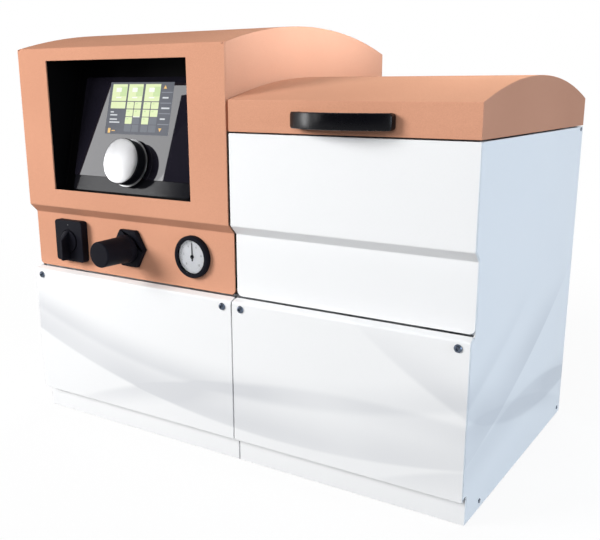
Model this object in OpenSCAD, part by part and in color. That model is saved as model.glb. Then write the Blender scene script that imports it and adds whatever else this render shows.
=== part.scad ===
// Hot melt glue unit with a control tower, a lidded melt tank and an air driven piston pump.
// Millimetres. Origin at the middle of the base on the floor, front faces -Y, Z up.

/* [Cabinet] */
// Depth from the control strip to the rear panel
body_d = 350; // [345:1:370]
// Width of the control tower
tower_w = 320.5; // [316:0.5:325]
// Gap between the tower and the tank side
seam_gap = 3; // [2:0.5:3.5]
// Thickness of the cabinet sheets
sheet_t = 2; // [1.5:0.25:2.25]
// Outside bend radius of the cabinet sheets
bend_r = 3; // [2.6:0.2:3.6]
// How far the fascia and the lower panels stand out from the control strip
step_out = 10; // [9:0.5:11]
// Height of the lower edge of the lower panels
plinth_h = 30; // [28:1:34]
// Height of the lower edge of the control strip
strip_z = 200; // [197:1:206]
// Height of the control strip
strip_h = 70; // [68:1:76]
// Height of the tank side up to the lid
tank_h = 380; // [376:1:388]
// Gap between neighbouring cover edges
cover_gap = 1.5; // [1:0.25:2]
// Gap between a front sheet and the panel edge behind it
edge_gap = 0.7; // [0.5:0.1:1]
// Corner radius of the front sheets
corner_r = 6; // [4:0.5:8]
// Gap between the covers and the floor
floor_gap = 1; // [0.5:0.25:2]
// Thickness of the base tray
base_t = 3; // [2.5:0.5:4]
// Height of the base tray's upstands
base_flange_h = 18; // [16:1:20]
// Spacing of the floor bolt holes across
bolt_span_x = 520; // [500:5:530]
// Spacing of the floor bolt holes from front to rear
bolt_span_y = 270; // [250:5:280]
// Diameter of the floor bolt holes
bolt_hole_d = 9; // [7:0.5:11]

/* [Tower] */
// Height of the front edge of the tower's roof
tower_h = 470; // [466:1:480]
// Rise of the arched roofs
arch_rise = 25; // [20:1:28]
// Width of the window for the operator panel
window_w = 219; // [215:1:222]
// Height of the window
window_h = 154; // [151:1:156]
// Distance of the window from the tower's left edge
window_left = 49.5; // [47:0.5:52]
// Distance of the window above the slanted step
window_up = 22; // [20:0.5:24]
// Wall of the recess box
recess_t = 1.5; // [1:0.25:2]
// Lean of the operator panel
panel_tilt = 15; // [12:0.5:17]
// Depth of the operator panel behind the fascia at its lower edge
panel_depth = 15.7; // [15:0.1:18]
// Shift of the operator panel from the middle of the window
panel_shift = -1.2; // [-2:0.1:2]
// Width of the operator panel
panel_w = 188; // [184:1:192]
// Height of the operator panel along its lean
panel_h = 140.3; // [138:0.5:142]
// Height of the bare band under the glass
band_h = 18; // [16:0.5:19]
// Thickness of the operator glass
glass_t = 1.5; // [1:0.25:2]
// Thickness of the operator panel
panel_t = 3; // [2:0.5:4]
// Width of the display
display_w = 102; // [96:1:106]
// Height of the display
display_h = 63; // [58:1:64]
// Height of the display's lower edge above the panel's lower edge
display_up = 71; // [70:0.5:74]

/* [Rotary push knob] */
// Height of the knob's axis above the panel's lower edge
knob_up = 36; // [35:0.5:37]
// Diameter of the bright face of the knob
knob_face_d = 53.4; // [50:0.2:55]
// Diameter of the bright ring round the knob
knob_ring_d = 57.6; // [56:0.2:60]
// Height of the knob above the glass
knob_h = 19.5; // [17:0.5:20]
// Crown of the knob's bright face
knob_crown = 1.2; // [0.8:0.1:1.6]
// Gap between the knob and the glass
knob_lift = 1.7; // [1.6:0.1:2.2]
// Push travel of the knob
push_travel = 1; // [0.8:0.1:1.2]
// Diameter of the encoder shaft
encoder_shaft_d = 6; // [5:0.5:8]

/* [Control strip] */
// Distance of the first control from the tower's left edge
control_left = 67.5; // [64:0.5:70]
// Spacing of the three controls
control_pitch = 97.5; // [96:0.5:99]
// Height of the controls above the strip's lower edge
control_up = 38; // [36:0.5:39]
// Width of the main switch plate
switch_w = 48; // [44:1:50]
// Height of the main switch plate
switch_h = 52; // [48:1:54]
// Thickness of the main switch plate
switch_t = 10; // [8:0.5:11]
// Length of the main switch lever out from the plate
lever_out = 13; // [12:0.5:15]
// Width of the main switch lever
lever_w = 11.5; // [10:0.5:13]
// Radius of the main switch hub
hub_r = 13.5; // [13:0.5:15]
// Size of the regulator nut across its flats
nut_af = 44.5; // [42:0.5:46]
// Thickness of the regulator nut
nut_t = 6; // [5:0.5:7]
// Diameter of the regulator bonnet
bonnet_d = 30; // [28:0.5:31]
// Diameter of the regulator knob's face
reg_knob_d = 30.5; // [29:0.5:32]
// Diameter of the regulator knob's rear end
reg_knob_base_d = 34; // [33:0.5:35]
// Reach of the regulator knob out from the strip
reg_reach = 53; // [50:1:56]
// Pull travel of the regulator knob
reg_pull = 3; // [2:0.5:4]
// Diameter of the gauge bezel
gauge_d = 49; // [47:0.5:51]
// How far the gauge stands out from the strip
gauge_out = 6.5; // [6:0.25:8]
// Diameter of the gauge dial
dial_d = 39.6; // [38:0.2:41]

/* [Lower panels] */
// Distance of the panel screws from the panel edges
screw_inset = 12; // [11:0.5:14]
// Distance of the panel screws under the strip
screw_down = 12; // [11:0.5:14]
// Diameter of the panel screw heads
screw_head_d = 8.4; // [8:0.2:9.5]
// Diameter of the panel screw shanks
screw_d = 5; // [4:0.5:5.5]
// Radius of the bead on which a lower panel tilts
bead_r = 2.5; // [2:0.1:2.8]

/* [Lid] */
// Height of the lid's front wall
lid_front_h = 32.5; // [30:0.5:35]
// Width of the lid handle
handle_w = 111; // [104:1:118]
// Height of the lid handle
handle_h = 16; // [15:0.5:18]
// How far the lid handle bows out
handle_out = 27; // [24:0.5:30]
// Thickness of the lid handle
handle_t = 8; // [6:0.5:9]
// Depth of the lid handle's ends
handle_end = 9; // [8:0.5:12]
// Height of the handle's lower edge above the lid's lower edge
handle_up = 6; // [5:0.5:8]
// Radius of the hinge knuckles
knuckle_r = 4; // [3.5:0.25:4.5]
// Diameter of the hinge pins
pin_d = 4; // [3.5:0.25:4.5]
// Length of a hinge
hinge_l = 60; // [50:2:70]
// Distance between the two hinges
hinge_span = 166; // [150:2:180]

/* [Melt tank and pump] */
// Width of the tank's hollow
cavity_w = 206; // [200:1:210]
// Depth of the tank's hollow
cavity_d = 216; // [206:1:224]
// Wall of the tank
tank_wall = 10; // [8:0.5:12]
// Thickness of the insulation boards
insulation_t = 16; // [14:1:20]
// Air gap between the insulation and the side walls
tank_air = 7.25; // [6:0.25:10]
// Thickness of the tank's heated floor
tank_floor_t = 26; // [24:1:30]
// Height of the tank's underside
tank_z = 180; // [178:1:184]
// Height of the melting ribs
rib_h = 40; // [30:1:50]
// Diameter of the cartridge heaters
heater_d = 12.5; // [10:0.5:14]
// Width of the manifold block
manifold_w = 200; // [190:1:210]
// Depth of the manifold block
manifold_d = 100; // [95:1:105]
// Height of the manifold block
manifold_h = 60; // [56:1:64]
// Height of the manifold block's underside
manifold_z = 70; // [66:1:74]
// Diameter of the hose ports
port_d = 14.28; // [12:0.02:16]
// Spacing of the hose ports
port_pitch = 45; // [42:1:47]
// Diameter of the pump rod
rod_d = 16; // [14:0.5:18]
// Stroke of the pump rod
stroke = 40; // [30:1:42]
// Outside diameter of the air cylinder
air_d = 76; // [72:1:78]
// Diameter of the air inlet's bore
air_port_d = 11.8; // [10:0.1:13]
// Diameter of the mains gland's bore
gland_bore_d = 11; // [9:0.5:12]

/* [Clearances] */
// Radial play of turning and sliding shafts
run_play = 0.08; // [0.04:0.01:0.1]
// Gap between fixed pieces that don't touch
fit_gap = 0.3; // [0.3:0.05:0.4]

/* [Hidden] */
$fn = 72;
eps = 0.01;
tank_w = cavity_w + 2 * (tank_wall + insulation_t + tank_air + sheet_t);
body_w = tower_w + seam_gap + tank_w;
x_l = -body_w / 2;
x_r = body_w / 2;
x_tower = x_l + tower_w;
x_tank = x_tower + seam_gap;
y_strip = -body_d / 2;
y_face = y_strip - step_out;
y_rear = body_d / 2;
z_strip_top = strip_z + strip_h;
z_fascia = z_strip_top + step_out;
tank_top = tank_h - cover_gap;
foot_flange = 17;
top_flange = 20;
relief_w = 1.6;
in_l = x_l + sheet_t;
in_r = x_r - sheet_t;
in_rear = y_rear - sheet_t;
in_face = y_face + sheet_t;
in_strip = y_strip + sheet_t;

window_x0 = x_l + window_left;
window_x1 = window_x0 + window_w;
window_cx = window_x0 + window_w / 2;
window_z0 = z_fascia + window_up;
window_z1 = window_z0 + window_h;
recess_lap = 3;
recess_flange = 10;
back_y = glass_t + panel_t;

control_z = strip_z + control_up;
switch_x = x_l + control_left;
regulator_x = switch_x + control_pitch;
gauge_x = regulator_x + control_pitch;

rail_y = y_strip + 4;
rail_d = 22;
rail_h = 26;
screw_z = strip_z - screw_down;
panel_gap = 1.4;
seam_x = x_tower + seam_gap / 2;
left_panel = [x_l, seam_x - panel_gap / 2];
right_panel = [seam_x + panel_gap / 2, x_r];
plinth_top = plinth_h - 1.8;
pivot_y = y_strip + bead_r + 0.5;
pivot_z = plinth_top + fit_gap + bead_r;
flap_rise = 3.4;
return_d = 11;

hinge_y = y_rear + knuckle_r + fit_gap;
hinge_z = tank_h;
tank_cx = (x_tank + x_r) / 2;
tank_cy = -10;
tank_rim = tank_top - 2 * sheet_t;
cavity_r = 14;
skirt_gap = 0.8;
skirt_t = 1.5;
mouth_w = cavity_w - 2 * (skirt_gap + skirt_t);
mouth_d = cavity_d - 2 * (skirt_gap + skirt_t);
rim_top = tank_h - 0.8;
liner_z = tank_h + 2;
liner_t = 1.5;
heater_z = tank_z + tank_floor_t / 2;
heater_l = cavity_d - 36;
heater_pitch = 60;
heater_xs = [-heater_pitch, 0, heater_pitch];
rib_pitch = 38;
post_r = 9;
post_inset = 19;
outlet_r = 11;
outlet_y = 60;

manifold_y1 = y_rear - 53;
manifold_y0 = manifold_y1 - manifold_d;
manifold_x0 = tank_cx - manifold_w / 2;
manifold_top = manifold_z + manifold_h;
port_z = manifold_z + manifold_h / 2;
port_depth = 16;
port_xs = [for (k = [-1.5 : 1 : 1.5]) tank_cx + k * port_pitch];
bush_r = 15;
bush_y1 = manifold_y1 + port_depth + 2;
filter_r = 16;
filter_x = manifold_x0 + 38;
filter_depth = 76;

pump_w = 70;
pump_x1 = x_tower - 26;
pump_cx = pump_x1 - pump_w / 2;
pump_cy = manifold_y0 + manifold_d / 2;
pump_z0 = 60;
pump_z1 = 150;
gland_z = pump_z1 + 14;
flange_z = 222;
cylinder_z = flange_z + 12;
head_z = cylinder_z + stroke + 38;
cylinder_wall = 5;
piston_t = 14;
rod_bottom = pump_z0 + 24;
tie_offset = 29;

plate_x = [x_l + 14, x_l + 204];
plate_z = [base_t + base_flange_h + 20, strip_z + 14];
plate_y = y_rear - 36;
board_in = 12;
board_x = [plate_x[0] + board_in, plate_x[1] - board_in];
board_z = [plate_z[0] + board_in, plate_z[1] - board_in];
board_y = plate_y - 8;
board_t = 1.6;
socket_z = 168;
socket_r = 9.5;
socket_y1 = y_rear + 12;
socket_lead = 0.5;
inlet_y1 = y_rear + 12;
thread_lead = 0.8;
gland_x = x_l + 50;
inlet_x = x_l + 150;
entry_z = 62;

// Shared helpers

function unit(v) = v / norm(v);
function left_of(v) = [-v[1], v[0]];
function side_dir(path, i) = left_of(unit(path[i + 1] - path[i]));
function mitre(path, i) =
  i == 0 ? side_dir(path, 0)
  : i == len(path) - 1 ? side_dir(path, i - 1)
  : let (a = side_dir(path, i - 1), b = side_dir(path, i)) (a + b) / (1 + a * b);
function shifted(path, t) = [for (i = [0 : len(path) - 1]) path[i] + t * mitre(path, i)];
function reversed(path) = [for (i = [len(path) - 1 : -1 : 0]) path[i]];
function turned(v, a) = [v[0] * cos(a) - v[1] * sin(a), v[0] * sin(a) + v[1] * cos(a)];
function bend_points(path, i, r, n) =
  let (
    a = unit(path[i - 1] - path[i]),
    b = unit(path[i + 1] - path[i]),
    half = acos(a * b) / 2,
    mid = path[i] + unit(a + b) * r / sin(half),
    first = path[i] + a * r / tan(half) - mid,
    turn = (a[0] * b[1] - a[1] * b[0] > 0 ? -1 : 1) * (180 - 2 * half)
  ) [for (k = [0 : n]) mid + turned(first, turn * k / n)];
function with_bends(path, r, n = 5) = concat(
  [path[0]],
  [for (i = [1 : len(path) - 2]) each bend_points(path, i, r, n)],
  [path[len(path) - 1]]
);

module bent_sheet(path, r = bend_r) {
  outer = with_bends(path, r);
  polygon(concat(outer, reversed(shifted(outer, sheet_t))));
}

module plain_sheet(path) {
  polygon(concat(path, reversed(shifted(path, sheet_t))));
}

module along_x(x0, x1) {
  translate([x0, 0, 0]) rotate([90, 0, 90]) linear_extrude(x1 - x0) children();
}

module along_y(y0, y1) {
  translate([0, y1, 0]) rotate([90, 0, 0]) linear_extrude(y1 - y0) children();
}

module block(x, y, z) {
  translate([x[0], y[0], z[0]]) cube([x[1] - x[0], y[1] - y[0], z[1] - z[0]]);
}

module rod_x(y, z, x0, x1, r) {
  translate([x0, y, z]) rotate([0, 90, 0]) cylinder(h = x1 - x0, r = r);
}

module rod_y(x, z, y0, y1, r) {
  translate([x, y0, z]) rotate([-90, 0, 0]) cylinder(h = y1 - y0, r = r);
}

// Lead-in at the mouth of a bore that opens to the rear at y
module mouth_y(x, z, y, r, lead) {
  translate([x, y - lead, z]) rotate([-90, 0, 0]) cylinder(h = lead + eps, r1 = r, r2 = r + lead + eps);
}

module rod_z(x, y, z0, z1, r) {
  translate([x, y, z0]) cylinder(h = z1 - z0, r = r);
}

module round_rect(w, h, r) {
  square([w - 2 * r, h], center = true);
  square([w, h - 2 * r], center = true);
  for (i = [-1, 1], k = [-1, 1]) translate([i * (w / 2 - r), k * (h / 2 - r)]) circle(r);
}

// Outline between two corners with rounded lower corners, radius r0, and upper corners, radius r1
module panel_outline(x, z, r0, r1) {
  polygon([
    for (k = [0 : 6]) [x[0] + r0 - r0 * sin(15 * k), z[0] + r0 - r0 * cos(15 * k)],
    for (k = [0 : 6]) [x[0] + r1 - r1 * cos(15 * k), z[1] - r1 + r1 * sin(15 * k)],
    for (k = [0 : 6]) [x[1] - r1 + r1 * sin(15 * k), z[1] - r1 + r1 * cos(15 * k)],
    for (k = [0 : 6]) [x[1] - r0 + r0 * cos(15 * k), z[0] + r0 - r0 * sin(15 * k)]
  ]);
}

// Side view of an arched roof over a straight wall
module arch(y0, y1, z0, edge_z, inset) {
  chord = y_rear - y_face;
  radius = chord * chord / (8 * arch_rise) + arch_rise / 2;
  intersection() {
    translate([(y_face + y_rear) / 2, edge_z + arch_rise - radius]) circle(radius - inset, $fn = 360);
    translate([y0, z0]) square([y1 - y0, edge_z + arch_rise + 1 - z0]);
  }
}

// Places children on the leaning operator panel: X across, Z up the lean, -Y out of the glass
module on_panel() {
  translate([window_cx + panel_shift, y_face + panel_depth, window_z0]) rotate([-panel_tilt, 0, 0]) children();
}

// Places children with Z pointing out of the glass on the knob's axis
module on_knob() {
  on_panel() translate([0, 0, knob_up]) rotate([90, 0, 0]) children();
}

// Cover paths

function fascia_path(top) = [
  [y_face, top], [y_face, z_fascia], [y_strip, z_strip_top], [y_strip, strip_z]
];
flap_tip = [y_strip - 0.6, strip_z - cover_gap];
lower_path = [
  flap_tip, [y_face, flap_tip[1] - flap_rise], [y_face, plinth_h]
];

module side_outline(top) {
  upper_edge = shifted(fascia_path(top), sheet_t + edge_gap);
  lower_edge = shifted(lower_path, sheet_t + edge_gap);
  polygon(concat(
    upper_edge,
    [lower_edge[0], lower_edge[1], [lower_edge[2][0], plinth_h + 3]],
    [[in_strip + edge_gap, plinth_h + 3], [in_strip + edge_gap, floor_gap]],
    [[y_rear, floor_gap], [y_rear, top]]
  ));
}

// Cabinet

module base_plate() color("silver") {
  z1 = base_t + base_flange_h;
  y0 = in_strip;
  difference() {
    union() {
      block([in_l, in_r], [y0, in_rear], [0, base_t]);
      block([in_l, in_l + sheet_t], [y0, in_rear], [0, z1]);
      block([in_r - sheet_t, in_r], [y0, in_rear], [0, z1]);
      block([in_l, in_r], [y0, y0 + sheet_t], [0, z1]);
      block([in_l, in_r], [in_rear - sheet_t, in_rear], [0, z1]);
    }
    for (i = [-1, 1], k = [-1, 1])
      rod_z(i * bolt_span_x / 2, k * bolt_span_y / 2, -1, base_t + 1, bolt_hole_d / 2);
    side_screw_holes(0.2);
  }
}

module plinth(x, inner) {
  up_y = pivot_y + bead_r + 0.5;
  along_x(x[0], x[1]) plain_sheet([[y_strip, plinth_top], [y_strip, floor_gap]]);
  along_x(inner[0], inner[1]) plain_sheet([
    [up_y, plinth_top + 5], [up_y, plinth_top], [y_strip, plinth_top], [y_strip, floor_gap]
  ]);
}

module left_plinth() color("white") {
  plinth(left_panel, [in_l + fit_gap, left_panel[1]]);
}

module right_plinth() color("white") {
  plinth(right_panel, [right_panel[0], in_r - fit_gap]);
}

// Small screws at the edges of the side panels: height, depth
side_screw_spots = [
  [base_t + 7, y_strip + 41], [base_t + 7, y_rear - 14], [tank_top - 3, y_rear - 10]
];

module side_screw_holes(play) {
  for (i = [-1, 1], s = side_screw_spots)
    rod_x(s[1], s[0], min(i * (body_w / 2 - 14), i * (body_w / 2 + 1)),
      max(i * (body_w / 2 - 14), i * (body_w / 2 + 1)), 1.5 + play);
}

module side_screws() color("dimgray") {
  for (i = [-1, 1], s = side_screw_spots) {
    head = i < 0 ? [x_l - 0.8, x_l] : [x_r, x_r + 0.8];
    shank = i < 0 ? [x_l - 0.4, x_l + 7] : [x_r - 7, x_r + 0.4];
    rod_x(s[1], s[0], head[0], head[1], 2.4);
    rod_x(s[1], s[0], shank[0], shank[1], 1.5);
  }
}

module left_side_panel() color("white") difference() {
  along_x(x_l, in_l) side_outline(tank_top);
  side_screw_holes(0.2);
}

module right_side_panel() color("white") difference() {
  along_x(in_r, x_r) side_outline(tank_top);
  side_screw_holes(0.2);
}

module rear_panel() color("white") difference() {
  union() {
    block([in_l + fit_gap, in_r - fit_gap], [in_rear, y_rear], [floor_gap, tank_top]);
    for (i = [-1, 1]) {
      x = i < 0 ? [in_l + fit_gap, in_l + fit_gap + sheet_t] : [in_r - fit_gap - sheet_t, in_r - fit_gap];
      block(x, [y_rear - 18, in_rear + eps], [base_t + base_flange_h + 2, tank_top]);
    }
  }
  side_screw_holes(0.2);
  along_y(in_rear - 1, y_rear + 1)
    translate([tank_cx, port_z]) round_rect(3 * port_pitch + 46, 52, 6);
  for (x = port_xs) rod_y(x, socket_z, in_rear - 1, y_rear + 1, 12.5);
  rod_y(gland_x, entry_z, in_rear - 1, y_rear + 1, 10.3);
  rod_y(inlet_x, entry_z, in_rear - 1, y_rear + 1, 9.3);
  for (row = [0 : 7])
    along_y(in_rear - 1, y_rear + 1)
      translate([x_l + 110, 250 + row * 13]) round_rect(150, 5, 2.4);
}

module bulkhead() color("gainsboro") difference() {
  wall_x = [x_tower - sheet_t, x_tower];
  wall_top = tank_h - fit_gap;
  wall_front = rail_y + rail_d + 1;
  shield_z = z_fascia + 2 * sheet_t;
  union() {
    block(wall_x, [wall_front, in_rear - fit_gap], [base_t, wall_top]);
    block(wall_x, [in_face + fit_gap, wall_front + eps], [shield_z, wall_top]);
  }
  block([x_tower - sheet_t - 1, x_tower + 1],
    [pump_cy - 27, pump_cy + 27], [port_z - 27, port_z + 27]);
  block([x_tower - sheet_t - 1, x_tower + 1],
    [in_rear - sheet_t - fit_gap, in_rear], [0, base_t + base_flange_h + fit_gap]);
}

module front_rail() color("gainsboro") difference() {
  along_x(in_l, in_r) plain_sheet([
    [rail_y + rail_d, strip_z], [rail_y, strip_z], [rail_y, strip_z - rail_h]
  ]);
  for (x = concat(screw_xs(left_panel), screw_xs(right_panel)))
    rod_y(x, screw_z, rail_y - 1, rail_y + sheet_t + 1, screw_d / 2 + 0.8);
}

module tank_front_panel() color("white") {
  path = fascia_path(tank_top);
  inner_path = concat(
    [[y_face + top_flange, tank_top]], path, [[y_strip + foot_flange, strip_z]]
  );
  intersection() {
    along_x(x_tank, x_r) bent_sheet(path);
    along_y(y_face - 1, y_rear) panel_outline([x_tank, x_r], [strip_z, tank_top], corner_r, 1);
  }
  along_x(x_tank + corner_r, in_r - edge_gap) bent_sheet(inner_path);
}

module tower_front_panel() color("peru") difference() {
  path = fascia_path(tower_h);
  inner_path = concat(path, [[y_strip + foot_flange, strip_z]]);
  union() {
    intersection() {
      along_x(x_l, x_tower) bent_sheet(path);
      along_y(y_face - 1, y_rear) panel_outline([x_l, x_tower], [strip_z, tower_h], corner_r, 1);
    }
    along_x(x_l + corner_r, x_tower - corner_r) bent_sheet(inner_path);
  }
  block([window_x0, window_x1], [y_face - 1, in_face + 1], [window_z0, window_z1]);
  corner_reliefs();
  rod_y(switch_x, control_z, y_strip - 1, in_strip + 1, 11);
  rod_y(regulator_x, control_z, y_strip - 1, in_strip + 1, bonnet_d / 2 + fit_gap);
  rod_y(gauge_x, control_z, y_strip - 1, in_strip + 1, dial_d / 2 + fit_gap + 0.2);
}

// Small reliefs where the fascia, the roof and a side wall meet
module corner_reliefs() {
  for (x = [in_l, x_tower - sheet_t - relief_w])
    block([x, x + relief_w], [y_face - 1, in_face + relief_w], [tower_h - relief_w, tower_h + arch_rise]);
}

module tower_hood() color("peru") difference() {
  along_x(x_l, x_tower) arch(in_face, y_rear, tank_h, tower_h, 0);
  along_x(in_l, x_tower - sheet_t) arch(in_face - 1, in_rear, tank_h - 1, tower_h, sheet_t);
  corner_reliefs();
}

// Operator panel

function slope_y(z, depth) =
  let (up = (z - window_z0 + depth * sin(panel_tilt)) / cos(panel_tilt))
  y_face + panel_depth + up * sin(panel_tilt) + depth * cos(panel_tilt);

function recess_profile(depth, grow) =
  let (z0 = window_z0 - recess_lap - grow, z1 = window_z1 + recess_lap + grow)
  [[in_face, z0], [in_face, z1], [slope_y(z1, depth), z1], [slope_y(z0, depth), z0]];

module recess_box() color("black") difference() {
  x0 = window_x0 - recess_lap;
  x1 = window_x1 + recess_lap;
  union() {
    along_x(x0 - recess_t, x1 + recess_t) polygon(recess_profile(back_y + recess_t, recess_t));
    block([x0 - recess_flange, x1 + recess_flange], [in_face, in_face + recess_t],
      [window_z0 - recess_lap - recess_flange, window_z1 + recess_lap + 4]);
  }
  along_x(x0, x1) polygon(recess_profile(back_y, 0));
  block([x0, x1], [in_face - 1, in_face + recess_t + 1], [window_z0 - recess_lap, window_z1 + recess_lap]);
  on_panel() translate([0, 0, display_up + display_h / 2])
    cube([display_w - 6, 30, display_h - 6], center = true);
  on_knob() translate([0, 0, -20]) cylinder(h = 30, r = 7);
}

module operator_panel() color("black") on_panel() difference() {
  along_y(glass_t, back_y) translate([0, panel_h / 2]) round_rect(panel_w, panel_h - 0.6, 3);
  along_y(glass_t - 1, back_y + 1) translate([0, display_up + display_h / 2])
    square([display_w - 6, display_h - 6], center = true);
  rod_y(0, knob_up, glass_t - 1, back_y + 1, 5.3);
}

module operator_glass() color("black") on_panel() difference() {
  along_y(0, glass_t) translate([0, (panel_h + band_h) / 2]) round_rect(panel_w, panel_h - band_h - 0.6, 3);
  along_y(-1, glass_t + 1) translate([0, display_up + display_h / 2])
    square([display_w, display_h], center = true);
  rod_y(0, knob_up, -1, glass_t + 1, 5.3);
}

module display_screen() color("dimgray") on_panel() translate([0, 0, display_up + display_h / 2]) {
  along_y(0, glass_t) square([display_w - fit_gap, display_h - fit_gap], center = true);
  along_y(glass_t - eps, glass_t + 11) square([display_w - 8, display_h - 8], center = true);
}

// Rotary push knob, heights counted out from the glass

plunger_r = encoder_shaft_d / 2 + 2;
plunger_t = 4;
plunger_z = -back_y - recess_t - 3.5;

module encoder_body() color("darkgray") on_knob() difference() {
  union() {
    translate([0, 0, -back_y - recess_t - 6]) cube([26, 26, 12], center = true);
    translate([0, 0, -back_y - recess_t - 1]) cylinder(h = back_y + recess_t, r = 5);
  }
  translate([0, 0, -30]) cylinder(h = 40, r = encoder_shaft_d / 2 + run_play);
  translate([0, 0, plunger_z - plunger_t - push_travel - 1])
    cylinder(h = plunger_t + push_travel + 1.5, r = plunger_r + fit_gap);
}

module encoder_plunger() color("gray") on_knob() difference() {
  translate([0, 0, plunger_z - plunger_t]) cylinder(h = plunger_t, r = plunger_r);
  translate([0, 0, -40]) cylinder(h = 50, r = encoder_shaft_d / 2 + run_play);
}

module encoder_shaft() color("silver") on_knob() {
  translate([0, 0, -back_y - recess_t - 11]) cylinder(h = back_y + recess_t + 11 + knob_h - 6, r = encoder_shaft_d / 2);
}

knob_ring_z = knob_lift + 2;
knob_body_r = knob_face_d / 2 + 0.5;

module knob_body() color("black") on_knob() rotate_extrude() {
  r0 = encoder_shaft_d / 2 + 0.05;
  base_r = knob_body_r - 1;
  polygon([
    [r0, knob_lift + 1], [9, knob_lift + 1], [9, knob_lift], [base_r, knob_lift], [base_r, knob_ring_z],
    [knob_body_r - 0.6, knob_ring_z], [knob_body_r - 0.6, knob_ring_z + 1.4], [knob_body_r, knob_ring_z + 1.4],
    [knob_body_r, knob_h - 2.2], [knob_body_r - 0.8, knob_h - 1.4], [knob_face_d / 2 - 2, knob_h - 1.4],
    [knob_face_d / 2 - 2, knob_h - 2.4], [0, knob_h - 2.4], [0, knob_h - 5.5], [r0, knob_h - 5.5]
  ]);
}

module knob_trim() color("silver") on_knob() rotate_extrude() {
  face_r = knob_face_d / 2;
  rim_r = face_r - 1.4;
  polygon([
    [0, knob_h - 2.4], [face_r - 2, knob_h - 2.4], [face_r - 2, knob_h - 1.4], [face_r - 0.6, knob_h - 1.4],
    [face_r, knob_h - 0.8], [face_r - 0.4, knob_h - 0.3],
    for (k = [6 : -1 : 0]) [rim_r * k / 6, knob_h + knob_crown * (1 - k * k / 36)]
  ]);
  polygon([
    [knob_body_r - 0.6, knob_ring_z], [knob_ring_d / 2 - 0.4, knob_ring_z], [knob_ring_d / 2, knob_ring_z + 0.4],
    [knob_ring_d / 2, knob_ring_z + 1], [knob_ring_d / 2 - 0.4, knob_ring_z + 1.4],
    [knob_body_r - 0.6, knob_ring_z + 1.4]
  ]);
}

// Main switch

module switch_plate() color("black") difference() {
  along_y(y_strip - switch_t, y_strip) translate([switch_x, control_z]) round_rect(switch_w, switch_h, 4);
  rod_y(switch_x, control_z, y_strip - switch_t - 1, y_strip - switch_t + 3, hub_r + fit_gap);
  rod_y(switch_x, control_z, y_strip - switch_t, y_strip + 1, 5);
}

module switch_body() color("dimgray") difference() {
  block([switch_x - 22, switch_x + 22], [in_strip, in_strip + 48], [control_z - 23, control_z + 23]);
  rod_y(switch_x, control_z, in_strip - 1, in_strip + 20, 5);
}

module switch_knob() color("black") {
  face = y_strip - switch_t;
  top = hub_r - 0.5;
  shoulder = -2;
  bottom = switch_h / 2 - 2;
  half = lever_w / 2;
  notch_w = 5;
  notch_top = -6.5;
  translate([switch_x, face, control_z]) {
    difference() {
      rotate([90, 0, 0]) rotate_extrude() polygon([
        [0, -2.7], [hub_r, -2.7], [hub_r, 2], [hub_r - 1.5, 4.5], [hub_r - 5, 6.5], [0, 7.5]
      ]);
      block([half, half + notch_w], [-hub_r, -0.5], [-hub_r - 1, notch_top]);
    }
    intersection() {
      along_y(-lever_out, 0) polygon([
        [-half, -bottom], [half, -bottom], [half, shoulder], [0, top], [-half, shoulder]
      ]);
      along_x(-lever_w, lever_w) polygon([
        [1, -bottom], [1, top], [-4, top], [-lever_out, shoulder + 1], [-lever_out, 3 - bottom],
        [3 - lever_out, -bottom]
      ]);
    }
    rotate([-90, 0, 0]) translate([0, 0, 2]) cylinder(h = switch_t + sheet_t + 12, r = 4);
  }
}

// Pressure regulator

neck_r = bonnet_d / 2 - 4;
neck_l = reg_pull + 11;
reg_knob_y = y_strip - nut_t - 1.2;

module regulator_body() color("dimgray") difference() {
  union() {
    block([regulator_x - 23, regulator_x + 23], [in_strip, in_strip + 62], [control_z - 23, control_z + 23]);
    rod_y(regulator_x, control_z, y_strip - nut_t - 0.6, in_strip + 1, bonnet_d / 2);
    rod_y(regulator_x, control_z, y_strip - nut_t - neck_l, in_strip, neck_r);
  }
  rod_y(regulator_x, control_z, y_strip - 40, in_strip + 40, 4 + run_play);
}

module regulator_nut() color("black") difference() {
  rod_y_hex();
  rod_y(regulator_x, control_z, y_strip - nut_t - 1, y_strip + 1, bonnet_d / 2 + fit_gap);
}

module rod_y_hex() {
  corner = nut_af / 2 / cos(30);
  intersection() {
    along_y(y_strip - nut_t, y_strip) translate([regulator_x, control_z]) circle(corner, $fn = 6);
    translate([regulator_x, y_strip, control_z]) rotate([90, 0, 0]) rotate_extrude() polygon([
      [0, 0], [corner + 1, 0], [corner + 1, nut_t - 1.6], [corner - 2, nut_t], [0, nut_t]
    ]);
  }
}

module regulator_spindle() color("silver") {
  rod_y(regulator_x, control_z, y_strip - reg_reach + 16, in_strip + 30, 4);
}

module regulator_knob() color("black") {
  length = reg_reach + reg_knob_y - y_strip;
  translate([regulator_x, reg_knob_y, control_z]) rotate([90, 0, 0]) rotate_extrude() polygon([
    [4 + run_play, neck_l + 4], [neck_r + fit_gap + 0.2, neck_l + 4], [neck_r + fit_gap + 0.2, 0],
    [reg_knob_base_d / 2 - 0.8, 0], [reg_knob_base_d / 2, 0.8], [reg_knob_base_d / 2, 6],
    [reg_knob_d / 2 + 0.6, 8], [reg_knob_d / 2, length - 1.2], [reg_knob_d / 2 - 1.2, length],
    [0, length], [0, length - 8], [4 + run_play, length - 8]
  ]);
}

// Pressure gauge, heights counted out from the strip

module on_gauge() {
  translate([gauge_x, y_strip, control_z]) rotate([90, 0, 0]) children();
}

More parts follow.
